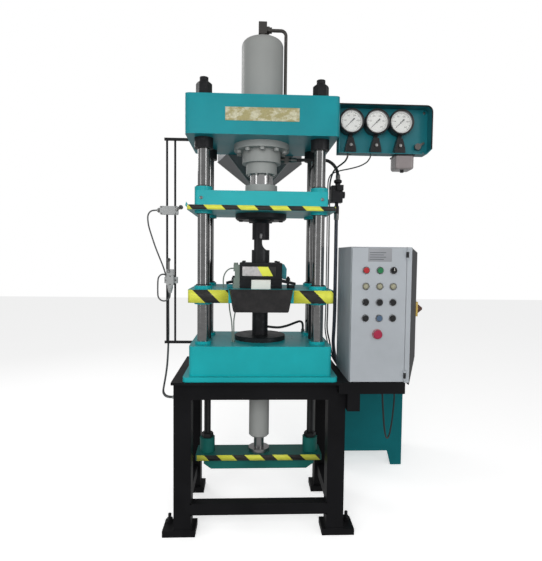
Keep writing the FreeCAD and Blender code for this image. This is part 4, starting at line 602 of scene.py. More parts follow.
def dress_nodes():
    split_by("clamp_finish", "Y", -0.0615, ((0.02, 0.24, 0.28), 0.38, 0.0), ((0.02, 0.02, 0.022), 0.42, 0.5))
    for name, node in NODES.items():
        wanted = FINISHES.get(name)
        if wanted is None and name.startswith("black_button"):
            wanted = "black_plastic"
        if wanted is None and name.startswith("gauge_needle"):
            wanted = "print_black"
        if wanted is None:
            continue
        node.data.materials.clear()
        node.data.materials.append(MATERIALS[wanted])


# ---------------------------------------------------------------- crown, cylinder and ram trim
def build_crown_trim():
    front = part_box("crown")[0].y
    bm = bmesh.new()
    add_block(bm, (-0.166, front - 0.0022, 1.898), (0.162, front, 1.957), 0.0008)
    face = min(bm.faces, key=lambda f: f.calc_center_median().y)
    bmesh.ops.inset_region(bm, faces=[face], thickness=0.0035, depth=0)
    bmesh.ops.inset_region(bm, faces=[face], thickness=0.0008, depth=-0.0006)
    for x in (-0.156, 0.152):
        add_rod(bm, (x, front - 0.002, 1.9275), (x, front - 0.0045, 1.9275), 0.0045, 20, 0.0015)
    make_piece("name_plate", bm, "plate_brass", FRAME_BODY)


def build_cylinder_trim():
    r = settings().sizes.cap_screw
    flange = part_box("crown")[0].z - 0.030
    bm = bmesh.new()
    for at in around((0, 0, flange), 0.115, 10, TURN / 20):
        add_cap_screw(bm, at, -Z_AXIS, r * 1.15, 0.014)
    for at in around((0, 0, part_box("cylinder_gland")[0].z), 0.066, 8, TURN / 16):
        add_cap_screw(bm, at, -Z_AXIS, r * 0.62, 0.006)
    make_piece("cylinder_screws", bm, "grey_enamel", FRAME_BODY)
    bm = bmesh.new()
    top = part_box("steel_pipes")[1].z
    add_hex(bm, (0.0205, 0, top - 0.033), X_AXIS, 0.034, 0.012)
    add_hex(bm, (0.1125, 0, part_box("crown")[1].z + 0.012), Z_AXIS, 0.034, 0.013)
    add_hex(bm, (0, 0, top - 0.073), Z_AXIS, 0.044, 0.012)
    make_piece("pipe_nuts", bm, "pipe_steel", FRAME_BODY)


def build_wipers():
    """Rubber wiper rings on the bushes, the collar's lugs, and the screws of platen, punch and adaptor."""
    rows = (("ram_bushes", "ram", "upper_wipers"), ("die_bushes", "die_table", "die_wipers"))
    for node, body, name in rows:
        low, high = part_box(node)
        bm = bmesh.new()
        x, y = high.x - 0.035, high.y - 0.035
        for sx in (-1, 1):
            for sy in (-1, 1):
                add_ring(bm, (sx * x, sy * y, high.z), Z_AXIS, 0.0282, 0.0345, 0.004, 0.0015)
                add_ring(bm, (sx * x, sy * y, low.z), -Z_AXIS, 0.0282, 0.0345, 0.003, 0.0012)
        make_piece(name, bm, "wiper_rubber", body)
    low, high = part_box("ram_collar")
    bm = bmesh.new()
    for side in (-1, 1):
        lug = side * 0.0745
        add_block(bm, (lug - 0.004, -0.018, low.z + 0.004), (lug + 0.004, 0.018, high.z - 0.034), 0.002)
        for y in (-0.010, 0.010):
            add_cap_screw(bm, (side * 0.078, y, low.z + 0.011), X_AXIS * side, 0.005, 0.004)
    make_piece("collar_lugs", bm, "grey_enamel", "ram")
    bm = bmesh.new()
    add_block(bm, (-0.006, -0.0445, 1.387), (0.006, -0.040, 1.411), 0.0015)
    for x in (-0.270, 0.270):
        add_cap_screw(bm, (x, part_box("upper_platen")[0].y, 1.558), -Y_AXIS, 0.007, 0.004)
    make_piece("punch_screw", bm, "turned_steel", "ram")
    bm = bmesh.new()
    for at in around((0, 0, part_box("punch_adaptor")[1].z - 0.031), 0.098, 6, 0):
        add_cap_screw(bm, at, -Z_AXIS, 0.010, 0.006)
    make_piece("adaptor_screws", bm, "tool_steel", "ram")


# ---------------------------------------------------------------- hazard tape
def add_tape(bm, points, low, high):
    """A thin strip standing on a plan line, carried up and given its thickness outwards."""
    verts = [bm.verts.new((x, y, low)) for x, y in points]
    edges = [bm.edges.new(pair) for pair in zip(verts, verts[1:])]
    grown = bmesh.ops.extrude_edge_only(bm, edges=edges)["geom"]
    raised = [v for v in grown if isinstance(v, bmesh.types.BMVert)]
    bmesh.ops.translate(bm, vec=(0, 0, high - low), verts=raised)


def corner_run(x, front, r, side, steps=6):
    """Plan points from a straight front round a rounded corner, offset a little from the metal."""
    out = 0.0004
    points = []
    for k in range(steps + 1):
        angle = TURN / 4 * k / steps
        points.append((side * (x - r + (r + out) * math.sin(angle)), front + r - (r + out) * math.cos(angle)))
    return points


def build_tape():
    low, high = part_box("die_platen")
    front, half = -0.213, high.x
    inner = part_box("chute_tray")[1].x + 0.002
    for side, word in ((-1, "left"), (1, "right")):
        bm = bmesh.new()
        points = [(side * inner, front - 0.0004)] + corner_run(half, front, 0.020, side)
        points.append((side * (half + 0.0004), front + 0.045))
        add_tape(bm, points, 1.0895, 1.1485)
        piece = make_piece(word + "_platen_tape", bm, word + "_platen_tape", "die_table")
        thicken(piece, 0.0004)
    bm = bmesh.new()
    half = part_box("bed")[1].x - 0.015
    right = corner_run(half, front, 0.020, 1)
    points = [(-x, y) for x, y in reversed(right)] + right
    add_tape(bm, points, 1.5065, 1.5275)
    piece = make_piece("upper_platen_tape", bm, "upper_tape", "ram")
    thicken(piece, 0.0004)
    low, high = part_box("lower_beam")
    bm = bmesh.new()
    add_tape(bm, [(-0.304, low.y - 0.0004), (0.304, low.y - 0.0004)], 0.2975, 0.3255)
    piece = make_piece("lower_beam_tape", bm, "beam_tape", "die_table")
    thicken(piece, 0.0004)


def thicken(piece, thick):
    solid = piece.modifiers.new("thickness", "SOLIDIFY")
    solid.thickness = thick
    solid.offset = 0.0


# ---------------------------------------------------------------- gauges and panel
GAUGE_X = (0.410, 0.529, 0.642)
GAUGE_Z = 1.927
DIAL_Y = -0.138
CASE_FRONT = -0.150


def text_mesh(words, size):
    """Flat lettering as a mesh, centred on its own origin, its face towards -Y."""
    curve = bpy.data.curves.new("lettering", "FONT")
    curve.body = words
    curve.size = size
    curve.align_x = "CENTER"
    curve.align_y = "CENTER"
    holder = bpy.data.objects.new("lettering", curve)
    bpy.context.scene.collection.objects.link(holder)
    bpy.context.view_layer.update()
    mesh = bpy.data.meshes.new_from_object(holder.evaluated_get(bpy.context.evaluated_depsgraph_get()))
    bpy.data.objects.remove(holder)
    return mesh


def add_text(bm, words, size, at):
    mesh = text_mesh(words, size)
    mesh.transform(Matrix.Translation(Vector(at)) @ Matrix.Rotation(TURN / 4, 4, "X"))
    bm.from_mesh(mesh)
    bpy.data.meshes.remove(mesh)


def dial_point(x, r, angle):
    """A point on a dial, the angle measured clockwise from the top."""
    return Vector((x + r * math.sin(angle), DIAL_Y, GAUGE_Z + r * math.cos(angle)))


def add_mark(bm, x, angle, r_in, r_out, width):
    """One printed line on a dial."""
    verts = bmesh.ops.create_cube(bm, size=1)["verts"]
    bmesh.ops.scale(bm, vec=(width, 0.0002, r_out - r_in), verts=verts)
    middle = dial_point(x, (r_in + r_out) / 2, angle) + Vector((0, -0.0007, 0))
    bmesh.ops.transform(bm, matrix=Matrix.Translation(middle) @ Matrix.Rotation(angle, 4, "Y"), verts=verts)


def build_gauges():
    count = settings().sizes.dial_marks
    faces, marks, glass, rims, hubs = (bmesh.new() for _ in range(5))
    sweep_from = -TURN * 0.375
    sweep = TURN * 0.75
    for x in GAUGE_X:
        add_rod(faces, (x, DIAL_Y, GAUGE_Z), (x, DIAL_Y - 0.0005, GAUGE_Z), 0.0498, 64)
        for k in range(count + 1):
            major = k % (count // 10) == 0
            add_mark(marks, x, sweep_from + sweep * k / count, 0.0375 if major else 0.0405, 0.0440,
                     0.0012 if major else 0.0005)
        for k in range(0, 11, 2):
            place = dial_point(x, 0.0300, sweep_from + sweep * k / 10)
            add_text(marks, str(k * 50), 0.0085, place + Vector((0, -0.0008, 0)))
        add_ring(marks, dial_point(x, 0, 0) + Vector((0, -0.0005, 0)), -Y_AXIS, 0.0441, 0.0447, 0.0003)
        add_rod(glass, (x, -0.1478, GAUGE_Z), (x, -0.1488, GAUGE_Z), 0.0497, 64)
        mark_old(rims)
        add_turned(rims, [(0.0500, 0), (0.0575, 0), (0.0582, 0.002), (0.0565, 0.0048), (0.0530, 0.0052),
                          (0.0505, 0.0032), (0.0500, 0)], (x, CASE_FRONT + 0.001, GAUGE_Z), -Y_AXIS, 64)
        add_rod(hubs, (x, -0.1422, GAUGE_Z), (x, -0.1445, GAUGE_Z), 0.0032, 24, 0.0008)
        add_rod(hubs, (x, -0.1380, 1.822), (x, -0.1402, 1.822), 0.0070, 24, 0.0006)
    make_piece("gauge_dials", faces, "dial_face", FRAME_BODY)
    make_piece("gauge_marks", marks, "print_black", FRAME_BODY)
    make_piece("gauge_glasses", glass, "gauge_glass", FRAME_BODY)
    make_piece("gauge_rims", rims, "black_plastic", FRAME_BODY)
    make_piece("gauge_buttons", hubs, "light_alloy", FRAME_BODY)


def build_panel_trim():
    low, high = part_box("gauge_panel")
    bm = bmesh.new()
    necks = bmesh.new()
    for x in (low.x + 0.014, high.x - 0.020):
        for z in (low.z + 0.014, high.z - 0.018):
            add_hex(bm, (x, -0.100, z), -Y_AXIS, 0.010, 0.004, 0.001)
    for x in GAUGE_X:
        add_hex(necks, (x, -0.118, 1.856), Z_AXIS, 0.018, 0.010)
        add_hex(necks, (x, -0.118, 1.7895), -Z_AXIS, 0.016, 0.010)
    make_piece("panel_bolts", bm, "plated_fittings", FRAME_BODY)
    bm = bmesh.new()
    r = 0.028
    turns = [TURN / 24 * k for k in range(7)]
    arc = [(high.x - r + r * math.sin(turn), high.z - r + r * math.cos(turn)) for turn in turns]
    line = [(low.x + 0.002, high.z), *arc, (high.x, low.z + 0.026)]
    line = [(x - 0.0018, low.y + 0.002, z - 0.0018) for x, z in line]
    for start, end in zip(line, line[1:]):
        add_rod(bm, start, end, 0.0030, 12)
    make_piece("panel_edging", bm, "wiper_rubber", FRAME_BODY)
    make_piece("panel_neck_nuts", necks, "blackened_steel", FRAME_BODY)
    bm = bmesh.new()
    blow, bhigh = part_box("filter_bowl")
    middle = (blow + bhigh) / 2
    add_rod(bm, (middle.x, middle.y, blow.z + 0.016), (middle.x, middle.y, bhigh.z - 0.010), 0.022, 32, 0.003)
    for k in range(5):
        z = blow.z + 0.022 + 0.009 * k
        add_ring(bm, (middle.x, middle.y, z), Z_AXIS, 0.0215, 0.0250, 0.004, 0.001)
    make_piece("filter_element", bm, "cream_plastic", FRAME_BODY)
    bm = bmesh.new()
    add_block(bm, (blow.x - 0.002, blow.y - 0.002, bhigh.z - 0.008),
              (bhigh.x + 0.002, bhigh.y + 0.002, bhigh.z), 0.003)
    add_rod(bm, (middle.x, middle.y, blow.z + 0.001), (middle.x, middle.y, blow.z - 0.009), 0.009, 24, 0.002)
    make_piece("filter_collar", bm, "black_plastic", FRAME_BODY)


# ---------------------------------------------------------------- cabinet trim
SIDE_COVER_X = 0.750
COLUMNS_X = (0.467, 0.530, 0.591)
ROWS_Z = (1.244, 1.172, 1.101, 1.029)


def build_operators():
    """Bezels, pilot lamps, the selector's line and the stop button's plate, all on the door."""
    face = DOOR_FRONT
    bm = bmesh.new()
    places = [(x, z) for z in ROWS_Z for x in COLUMNS_X]
    for x, z in places:
        add_ring(bm, (x, face, z), -Y_AXIS, 0.0142 if z != ROWS_Z[1] else 0.0128, 0.0168, 0.0038, 0.0015, 40)
    make_piece("operator_bezels", bm, "light_alloy", "door")
    bm = bmesh.new()
    for x in COLUMNS_X:
        mark_old(bm)
        add_turned(bm, [(0.0, 0.013), (0.0045, 0.0125), (0.0085, 0.0105), (0.0115, 0.007), (0.0125, 0.003),
                        (0.0125, 0.0)],
                   (x, face, ROWS_Z[1]), -Y_AXIS, 40)
    make_piece("pilot_lamps", bm, "cream_plastic", "door")
    bm = bmesh.new()
    mark_old(bm)
    add_turned(bm, [(0.0206, 0.0), (0.0225, 0.0), (0.0225, 0.0012), (0.0206, 0.0012), (0.0206, 0.0)],
               (0.523, face, 0.957), -Y_AXIS, 48)
    make_piece("stop_ring", bm, "red_plastic", "door")
    bm = bmesh.new()
    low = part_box("mode_selector")[0]
    add_block(bm, (COLUMNS_X[2] - 0.0010, low.y - 0.0006, ROWS_Z[0] - 0.001),
              (COLUMNS_X[2] + 0.0010, low.y + 0.0003, ROWS_Z[0] + 0.0105), 0.0002)
    make_piece("selector_line", bm, "white_plastic", "selector")
    bm = bmesh.new()
    add_block(bm, (0.475, face - 0.0012, 1.283), (0.582, face, 1.352 - 0.009), 0.0005)
    make_piece("rating_plate", bm, "rating_alloy", "door")
    bm = bmesh.new()
    for k in range(4):
        z = 1.292 + 0.010 * k
        add_block(bm, (0.482, face - 0.0016, z), (0.545 + 0.010 * (k % 2), face - 0.0009, z + 0.0025))
    make_piece("rating_plate_lines", bm, "pump_coat", "door")
    bm = bmesh.new()
    for z in (0.769, 1.315):
        add_rod(bm, (0.6515, -0.251, z - 0.013), (0.6515, -0.251, z + 0.013), 0.0062, 24, 0.001)
    make_piece("hinge_covers", bm, "black_plastic", FRAME_BODY)


def build_cabinet_trim():
    bm = bmesh.new()
    add_block(bm, (SIDE_COVER_X, -0.0885, 1.0175), (SIDE_COVER_X + 0.0142, -0.0215, 1.0885), 0.0015)
    make_piece("main_switch_plate", bm, "yellow_plate", FRAME_BODY)
    bm = bmesh.new()
    for y, z in ((-0.082, 1.024), (-0.028, 1.024), (-0.082, 1.082), (-0.028, 1.082)):
        add_rod(bm, (SIDE_COVER_X + 0.013, y, z), (SIDE_COVER_X + 0.0152, y, z), 0.003, 20, 0.0006)
    for z in (0.88, 1.10, 1.30):
        add_rod(bm, (SIDE_COVER_X - 0.0005, 0.060, z), (SIDE_COVER_X + 0.0015, 0.060, z), 0.004, 20, 0.0006)
    make_piece("cover_screws", bm, "plated_fittings", FRAME_BODY)
    bm = bmesh.new()
    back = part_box("cabinet")[1].y
    for k in range(9):
        z = 1.18 + 0.014 * k
        add_block(bm, (0.455, back, z), (0.620, back + 0.004, z + 0.006), 0.0018)
    make_piece("rear_louvres", bm, "cabinet_coat", FRAME_BODY)


# ---------------------------------------------------------------- stand, tank and pump
def build_stand_trim():
    bm = bmesh.new()
    for x in (-0.425, 0.425):
        for y in (-0.119, 0.224):
            add_hex(bm, (x, y, 0.030), Z_AXIS, 0.026, 0.013, 0.003)
            add_rod(bm, (x, y, 0.028), (x, y, 0.068), 0.0078, 20, 0.0015)
    make_piece("anchor_bolts", bm, "blackened_steel", FRAME_BODY)
    bm = bmesh.new()
    for sx in (-1, 1):
        for y0, y1 in ((-0.200, -0.120), (0.215, 0.295)):
            x0, x1 = sorted((sx * 0.315, sx * 0.395))
            corners = [(x0, y0), (x1, y0), (x1, y1), (x0, y1)]
            for a, b in zip(corners, corners[1:] + corners[:1]):
                add_bead(bm, (*a, 0.030), (*b, 0.030))
    for z in (0.101, 0.155):
        for sx in (-1, 1):
            add_bead(bm, (sx * 0.315, -0.200, z), (sx * 0.315, -0.150, z))
    make_piece("weld_beads", bm, "black_enamel", FRAME_BODY)


def add_bead(bm, start, end):
    """A weld bead: a slightly lumpy round line."""
    start, end = Vector(start), Vector(end)
    long = (end - start).length
    steps = max(4, int(long / 0.006))
    verts = bmesh.ops.create_cone(bm, cap_ends=True, segments=8, radius1=0.0042, radius2=0.0042, depth=long,
                                  matrix=aimed((start + end) / 2, end - start))["verts"]
    sides = [e for e in edges_of(verts) if abs((e.verts[0].co - e.verts[1].co).length - long) < 1e-6]
    made = bmesh.ops.subdivide_edges(bm, edges=sides, cuts=steps, use_grid_fill=True)["geom_inner"]
    direction = (end - start).normalized()
    for v in [g for g in made if isinstance(g, bmesh.types.BMVert)]:
        along = (v.co - start).dot(direction)
        centre = start + direction * along
        swell = 1.0 + 0.16 * math.sin(along * 700) + 0.08 * math.sin(along * 1910 + 1)
        v.co = centre + (v.co - centre) * swell


def build_tank_trim():
    low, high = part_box("oil_tank")
    bm = bmesh.new()
    for x in (low.x + 0.022, (low.x + high.x) / 2, high.x - 0.022):
        for y in (low.y + 0.020, high.y - 0.020):
            add_hex(bm, (x, y, high.z), Z_AXIS, 0.013, 0.007, 0.0015)
    make_piece("lid_bolts", bm, "plated_fittings", FRAME_BODY)
    bm = bmesh.new()
    x, y = low.x + 0.075, high.y - 0.085
    add_rod(bm, (x, y, high.z), (x, y, high.z + 0.020), 0.024, 32, 0.003)
    add_rod(bm, (x, y, high.z + 0.020), (x, y, high.z + 0.058), 0.034, 40, 0.006)
    make_piece("breather_cap", bm, "black_plastic", FRAME_BODY)
    bm = bmesh.new()
    add_block(bm, (0.904, 0.60, 0.20), (CAD_BOX[1].x - 0.0006, 0.624, 0.34), 0.003)
    make_piece("level_glass", bm, "smoky_bowl", FRAME_BODY)
    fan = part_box("pump_set")[1].z
    cx, cy, r = 0.705, 0.735, 0.088
    bm = bmesh.new()
    for k in range(28):
        angle = TURN * k / 28
        if 0.66 < k / 28 < 0.84:
            continue
        out = Vector((math.cos(angle), math.sin(angle), 0))
        verts = bmesh.ops.create_cube(bm, size=1)["verts"]
        bmesh.ops.scale(bm, vec=(0.014, 0.0022, 0.200), verts=verts)
        middle = Vector((cx, cy, 0.640)) + out * (r + 0.005)
        place = Matrix.Translation(middle) @ Matrix.Rotation(angle, 4, "Z")
        bmesh.ops.transform(bm, matrix=place, verts=verts)
    make_piece("motor_fins", bm, "pump_coat", FRAME_BODY)
    bm = bmesh.new()
    for k, ring in enumerate((0.018, 0.034, 0.050, 0.066)):
        add_ring(bm, (cx, cy, fan), Z_AXIS, ring, ring + 0.006, 0.002, 0.0006)
    for k in range(6):
        angle = TURN * k / 6
        end = (cx + 0.072 * math.cos(angle), cy + 0.072 * math.sin(angle), fan + 0.001)
        add_rod(bm, (cx, cy, fan + 0.001), end, 0.0018, 8)
    make_piece("fan_grille", bm, "black_plastic", FRAME_BODY)


# ---------------------------------------------------------------- hopper, die and switch trim
def build_hopper_trim():
    low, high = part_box("powder_hopper")
    bm = bmesh.new()
    front, back = 0.178, 0.245
    y0, y1 = low.y, high.y
    corners = [(-front, y0), (-back, y1), (back, y1), (front, y0)]
    # The seams are real folds, but their pale alloy finish, lighter than the hopper's sheet steel, is a
    # painted highlight along the edges.
    for a, b in zip(corners, corners[1:]):
        add_rod(bm, (*a, high.z), (*b, high.z), 0.0035, 12)
    for side in (-1, 1):
        add_rod(bm, (side * front, y0 + 0.001, 1.845), (side * 0.051, 0.258, 1.690), 0.0035, 12)
        add_rod(bm, (side * back, y1, 1.845), (side * 0.066, 0.342, 1.690), 0.0030, 12)
    make_piece("hopper_seam_highlights", bm, "light_alloy", FRAME_BODY)


def build_die_trim():
    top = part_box("die_block")[1].z
    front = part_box("die_block")[0].y
    bm = bmesh.new()
    for x in (-0.082, 0.082):
        for y in (-0.100, 0.100):
            add_cap_screw(bm, (x, y, top), Z_AXIS, 0.008, 0.008)
    for side, y in ((-1, -0.048), (1, -0.090)):
        add_hex(bm, (side * 0.130, y, 1.186), Z_AXIS, 0.019, 0.010, 0.003)
        add_rod(bm, (side * 0.130, y, 1.149), (side * 0.130, y, 1.206), 0.006, 20, 0.001)
    make_piece("die_screws", bm, "tool_steel", "die_table")
    bm = bmesh.new()
    add_block(bm, (-0.087, front - 0.0012, 1.2085), (0.070, front, 1.252), 0.0005)
    make_piece("die_label", bm, "label_print", "die_table")


def build_switch_trim():
    bm = bmesh.new()
    for z in (1.497, 1.527):
        for x in (-0.468, -0.402):
            add_rod(bm, (x, -0.090, z), (x, -0.0915, z), 0.0032, 20, 0.0005)
    add_hex(bm, (-0.4765, -0.079, 1.512), -X_AXIS, 0.020, 0.009)
    for z in (1.164, 1.202):
        add_rod(bm, (-0.429, -0.090, z), (-0.429, -0.0915, z), 0.0030, 20, 0.0005)
    add_hex(bm, (-0.430, -0.079, 1.1465), -Z_AXIS, 0.020, 0.008)
    for z in (1.512, 1.183):
        for x in (-0.4505, -0.4055):
            add_cap_screw(bm, (x, -0.068, z), -Y_AXIS, 0.0035, 0.003)
    for y in (-0.150, -0.134):
        add_hex(bm, (-0.3955, y, 0.640), -X_AXIS, 0.014, 0.006)
    make_piece("switch_screws", bm, "plated_fittings", FRAME_BODY)
    for name, body, x, z, r in (("upper_roller", "upper_switch_arm", -0.377, 1.526, 0.010),
                                ("lower_roller", "lower_switch_arm", -0.434, 1.280, 0.009)):
        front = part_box("upper_switch_lever" if "upper" in name else "lower_switch_lever")[0].y
        bm = bmesh.new()
        add_rod(bm, (x, front, z), (x, front - 0.0015, z), r * 0.45, 24, 0.0004)
        add_ring(bm, (x, front + 0.0005, z), -Y_AXIS, r * 0.70, r * 0.96, 0.0012, 0.0004, 32)
        make_piece(name, bm, "black_plastic", body)


def build_hose_ends():
    """Crimped ferrules and nuts where the hoses start and end."""
    bm = bmesh.new()
    add_ferrule(bm, (0.146, 0, 1.773), X_AXIS, 0.0115, 0.026)
    add_ferrule(bm, (0.389, 0.060, 1.692), Z_AXIS, 0.0115, 0.026)
    add_ferrule(bm, (0.385, 0.064, 1.520), -Z_AXIS, 0.0125, 0.030)
    add_ferrule(bm, (0.372, 0.086, 1.610), Y_AXIS, 0.0115, 0.018)
    add_ferrule(bm, (0.592, 0.640, 0.558), Z_AXIS, 0.0125, 0.020)
    add_ferrule(bm, (0.236, 0.190, 0.892), Z_AXIS, 0.0100, 0.018)
    add_ferrule(bm, (0.330, 0.255, 0.735), Z_AXIS, 0.0120, 0.020)
    make_piece("hose_ferrules", bm, "plated_fittings", FRAME_BODY)


def add_ferrule(bm, at, direction, r, long):
    at = Vector(at)
    out = Vector(direction).normalized()
    mark_old(bm)
    profile = [(r * 0.55, 0), (r * 0.92, 0), (r, 0.0015)]
    for k in range(4):
        h = long * (0.2 + 0.18 * k)
        profile += [(r, h), (r * 0.93, h + long * 0.04), (r, h + long * 0.08)]
    profile += [(r * 0.9, long), (r * 0.66, long)]
    add_turned(bm, profile, at, out, 32)
    add_hex(bm, at - out * 0.001, out, r * 1.9, long * 0.22)


# ---------------------------------------------------------------- free cords
CORDS = {
    "upper_switch_lead": (7.0, "lead_sheath", "grey_sheath", 0.990, [
        (-490, -79, 1512), (-511, -79, 1512), (-526, -79, 1503), (-534, -79, 1487), (-534, -79, 1466),
        (-530, -79, 1436), (-518, -77, 1396), (-503, -71, 1346), (-486, -59, 1296), (-470, -44, 1250),
        (-459, -31, 1208), (-453, -23, 1164), (-449.5, -19.6, 1116), (-448, -18.6, 1062),
        (-447.2, -18.2, 1004),
        (-446.9, -18.3, 946), (-447.1, -19, 900), (-447.7, -20.6, 860), (-449, -24, 814), (-450, -34, 772),
        (-452, -50, 736), (-454, -70, 706), (-455.5, -92, 682), (-456, -114.3, 659.7),
        (-445.8, -126.8, 647.2),
        (-428.2, -134, 640), (-407, -134, 640)]),
    "lower_switch_lead": (7.0, "lead_sheath", "grey_sheath", 0.870, [
        (-430, -79, 1123), (-430, -79, 1105.2), (-437.8, -79, 1091.8), (-451.2, -79, 1084),
        (-466.8, -78, 1084),
        (-480.2, -77, 1091.8), (-488, -76, 1105.2), (-489, -75, 1128), (-489, -75, 1158),
        (-488, -74, 1189.5),
        (-482.5, -68.9, 1202.5), (-473, -60.1, 1210), (-462, -49.9, 1210), (-452.5, -41.1, 1202.5),
        (-447, -36, 1189.5), (-445.6, -34.8, 1162), (-445, -34.4, 1120), (-444.8, -34.3, 1066),
        (-444.9, -34.4, 1008), (-445.3, -34.8, 950), (-446, -35.5, 904), (-447.2, -36.9, 860),
        (-449, -40, 814),
        (-450, -50, 772), (-452, -66, 736), (-454, -86, 706), (-455.5, -108, 682), (-456, -130.3, 659.7),
        (-445.8, -142.8, 647.2), (-428.2, -150, 640), (-407, -150, 640)]),
    "motor_lead": (9.0, "hose_rubber", "black_rubber", 1.065, [
        (640, 60, 683), (640, 60, 666), (641.6, 63, 641), (644.8, 69, 604), (650.2, 79.2, 557),
        (657, 91.8, 508), (665, 106.7, 458.1), (673.4, 122.5, 411.4), (683.1, 140.6, 370.3),
        (693.2, 159.4, 338.9), (704.4, 180.4, 314.7), (717.3, 204.5, 298.2), (732, 232, 292),
        (746.7, 259.5, 298.2), (759.6, 283.6, 314.7), (770.8, 304.6, 338.9), (780.9, 322, 370.3),
        (790.6, 339, 411), (799, 352, 462), (805, 371, 515), (808, 398, 562), (806, 432, 590),
        (798, 470, 604), (785, 506, 608), (764, 536, 605.5), (747, 562, 600), (734, 584, 593),
        (727, 606, 590), (727, 625, 590)]),
    "pressure_hose": (16.0, "hose_rubber", "black_rubber", 0.311, [
        (146, 0, 1773), (172, 0, 1773), (206, 2, 1775), (244, 9, 1779), (280, 20, 1782), (310, 31, 1782.5),
        (336.7, 41.1, 1782), (369.9, 53.1, 1761.6), (389, 60, 1726.4), (389, 60, 1692)]),
}


def build_cord(name, thick, material, points):
    curve = bpy.data.curves.new(name + "_line", "CURVE")
    curve.dimensions = "3D"
    curve.bevel_depth = thick * MM / 2
    curve.bevel_resolution = 5
    curve.resolution_u = 10
    curve.use_fill_caps = True
    spline = curve.splines.new("NURBS")
    spline.points.add(len(points) - 1)
    for place, point in zip(spline.points, points):
        place.co = (point[0] * MM, point[1] * MM, point[2] * MM, 1)
    spline.order_u = 3
    spline.use_endpoint_u = True
    curve.materials.append(MATERIALS[material])
    piece = bpy.data.objects.new(name + "_cord", curve)
    bpy.context.scene.collection.objects.link(piece)
    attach(piece, FRAME_BODY)
    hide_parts(name)


def build_cords():
    for name, (thick, material, slot, long, points) in CORDS.items():
        build_cord(name, thick, material, points)


# ---------------------------------------------------------------- floor, light and camera
CAMERA_PLACE = Vector((-0.048722, -2.306380, 1.304044))
CAMERA_YAW = 0.044
CAMERA_PITCH = 0.053
CAMERA_ROLL = 0.011


def camera_matrix():
    """The camera's place and turn: yaw to the right, pitch down, and a slight roll."""
    yaw, pitch, roll = CAMERA_YAW, CAMERA_PITCH, CAMERA_ROLL
    ahead = Vector((math.sin(yaw) * math.cos(pitch), math.cos(yaw) * math.cos(pitch), -math.sin(pitch)))
    right = Vector((math.cos(yaw), -math.sin(yaw), 0))
    up = right.cross(ahead)
    right_rolled = right * math.cos(roll) + up * math.sin(roll)
    up_rolled = up * math.cos(roll) - right * math.sin(roll)
    turn = Matrix((right_rolled, up_rolled, -ahead)).transposed().to_4x4()
    return Matrix.Translation(CAMERA_PLACE) @ turn


def add_light(name, place, target, size, power, shows_in_gloss=True):
    """A soft rectangular light; one that doesn't show in gloss leaves no glare on flat fronts."""
    data = bpy.data.lights.new(name, "AREA")
    data.shape = "RECTANGLE"
    data.size, data.size_y = size
    data.energy = power
    lamp = bpy.data.objects.new(name, data)
    bpy.context.scene.collection.objects.link(lamp)
    lamp.matrix_world = aimed(place, Vector(place) - Vector(target))
    lamp.visible_glossy = shows_in_gloss


def studio_world(strength):
    """An even grey surround for the light, and plain white where the camera looks past the object."""
    world = bpy.data.worlds.new("studio")
    world.use_nodes = True
    tree = world.node_tree
    path = tree.nodes.new("ShaderNodeLightPath")
    level = tree.nodes.new("ShaderNodeMapRange")
    level.inputs["To Min"].default_value = strength
    level.inputs["To Max"].default_value = 1.0
    tree.links.new(path.outputs["Is Camera Ray"], level.inputs["Value"])
    tree.nodes["Background"].inputs["Color"].default_value = (1, 1, 1, 1)
    tree.links.new(level.outputs["Result"], tree.nodes["Background"].inputs["Strength"])
    return world


def build_stage():
    bm = bmesh.new()
    bmesh.ops.create_grid(bm, x_segments=1, y_segments=1, size=12)
    mesh = bpy.data.meshes.new("floor")
    bm.to_mesh(mesh)
    bm.free()
    mesh.materials.append(MATERIALS["floor_paint"])
    floor = bpy.data.objects.new("floor", mesh)
    bpy.context.scene.collection.objects.link(floor)
    floor.visible_diffuse = False
    floor.visible_glossy = False
    bpy.context.scene.world = studio_world(0.34)
    bpy.context.scene.view_settings.view_transform = "Standard"
    add_light("key_light", (-0.4, -3.6, 2.0), (0, 0, 1.1), (2.6, 2.2), 80, False)
    add_light("right_light", (2.4, -2.6, 2.0), (0.3, 0, 1.1), (0.7, 2.6), 14)
    add_light("left_light", (-2.8, -2.0, 2.0), (-0.2, 0, 1.2), (0.6, 2.6), 7)
    add_light("rim_light", (-2.2, 2.2, 3.0), (0, 0, 1.4), (1.2, 1.6), 18)
    data = bpy.data.cameras.new("camera")
    data.sensor_width = 36
    data.lens = settings().sizes.lens_mm
    data.clip_end = 60
    camera = bpy.data.objects.new("camera", data)
    bpy.context.scene.collection.objects.link(camera)
    camera.matrix_world = camera_matrix()
    bpy.context.scene.camera = camera


# ---------------------------------------------------------------- operators
def press_operator(idname, label, about, work):
    """Makes an operator class that runs one builder."""
    def execute(self, context):
        work()
        return {"FINISHED"}
    return type("PRESS_OT_" + idname, (bpy.types.Operator,), {
        "bl_idname": "press." + idname, "bl_label": label, "bl_options": {"REGISTER", "UNDO"},
        "__doc__": about, "execute": execute})


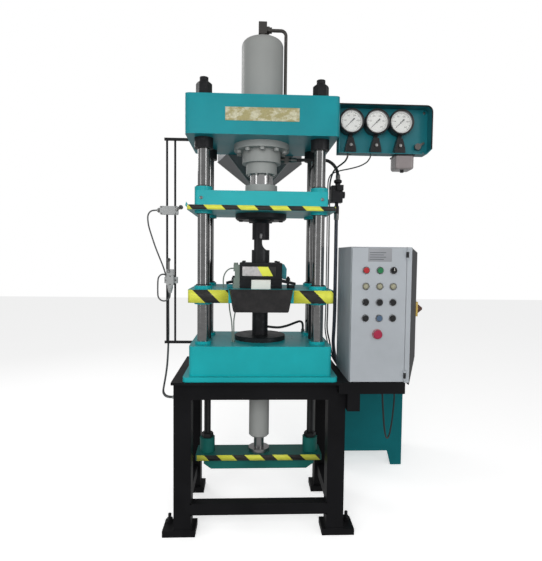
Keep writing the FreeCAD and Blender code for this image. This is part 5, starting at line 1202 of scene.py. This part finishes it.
STEPS = (
    ("materials", "Make finishes", "Makes every paint, metal, rubber and plastic", make_materials),
    ("nodes", "Finish the frame", "Gives each packed node its finish", dress_nodes),
    ("cords", "Leads and hose", "Builds the switch leads, the motor lead and the pressure hose", build_cords),
    ("crown", "Crown trim", "Builds the bare name plate with its rivets", build_crown_trim),
    ("cylinder", "Cylinder trim", "Builds the cylinder's screws and pipe nuts", build_cylinder_trim),
    ("wipers", "Ram trim", "Builds wiper rings, collar lugs and punch screws", build_wipers),
    ("tape", "Hazard tape", "Builds the striped tape on both platens and the lower beam", build_tape),
    ("gauges", "Gauges", "Builds the dials, marks, rims and glasses", build_gauges),
    ("panel", "Panel trim", "Builds the panel's fittings and the filter's inside", build_panel_trim),
    ("door", "Door trim", "Builds bezels, lamps, plates and hinge covers on the door", build_operators),
    ("cabinet", "Cabinet trim", "Builds the main switch plate, screws and louvres", build_cabinet_trim),
    ("stand", "Stand trim", "Builds anchor bolts and weld beads", build_stand_trim),
    ("tank", "Tank trim", "Builds the tank's bolts, breather and glass, and motor fins", build_tank_trim),
    ("hopper", "Hopper trim", "Builds the hopper's seams and rim", build_hopper_trim),
    ("die", "Die trim", "Builds the die's screws and label", build_die_trim),
    ("switches", "Switch trim", "Builds the limit switches' screws, nuts and rollers", build_switch_trim),
    ("hose_ends", "Hose ends", "Builds the crimped ends of the hoses", build_hose_ends),
    ("stage", "Stage", "Builds the floor, the light and the camera", build_stage),
)
OPERATORS = [press_operator(*step) for step in STEPS]


class PRESS_PT_build(bpy.types.Panel):
    """The list of building steps."""
    bl_label = "Hydraulic press"
    bl_space_type = "VIEW_3D"
    bl_region_type = "UI"
    bl_category = "Press"

    def draw(self, context):
        for group in (context.scene.press.colours, context.scene.press.sizes):
            for key in group.__annotations__:
                self.layout.prop(group, key)
        for made in OPERATORS:
            self.layout.operator(made.bl_idname)


CLASSES = [PressColours, PressSizes, PressSettings, *OPERATORS, PRESS_PT_build]


def register():
    for made in CLASSES:
        bpy.utils.register_class(made)
    bpy.types.Scene.press = PointerProperty(type=PressSettings)


def unregister():
    del bpy.types.Scene.press
    for made in reversed(CLASSES):
        bpy.utils.unregister_class(made)


def main():
    register()
    for made in OPERATORS:
        group, name = made.bl_idname.split(".")
        getattr(getattr(bpy.ops, group), name)()


if __name__ == "__main__":
    main()
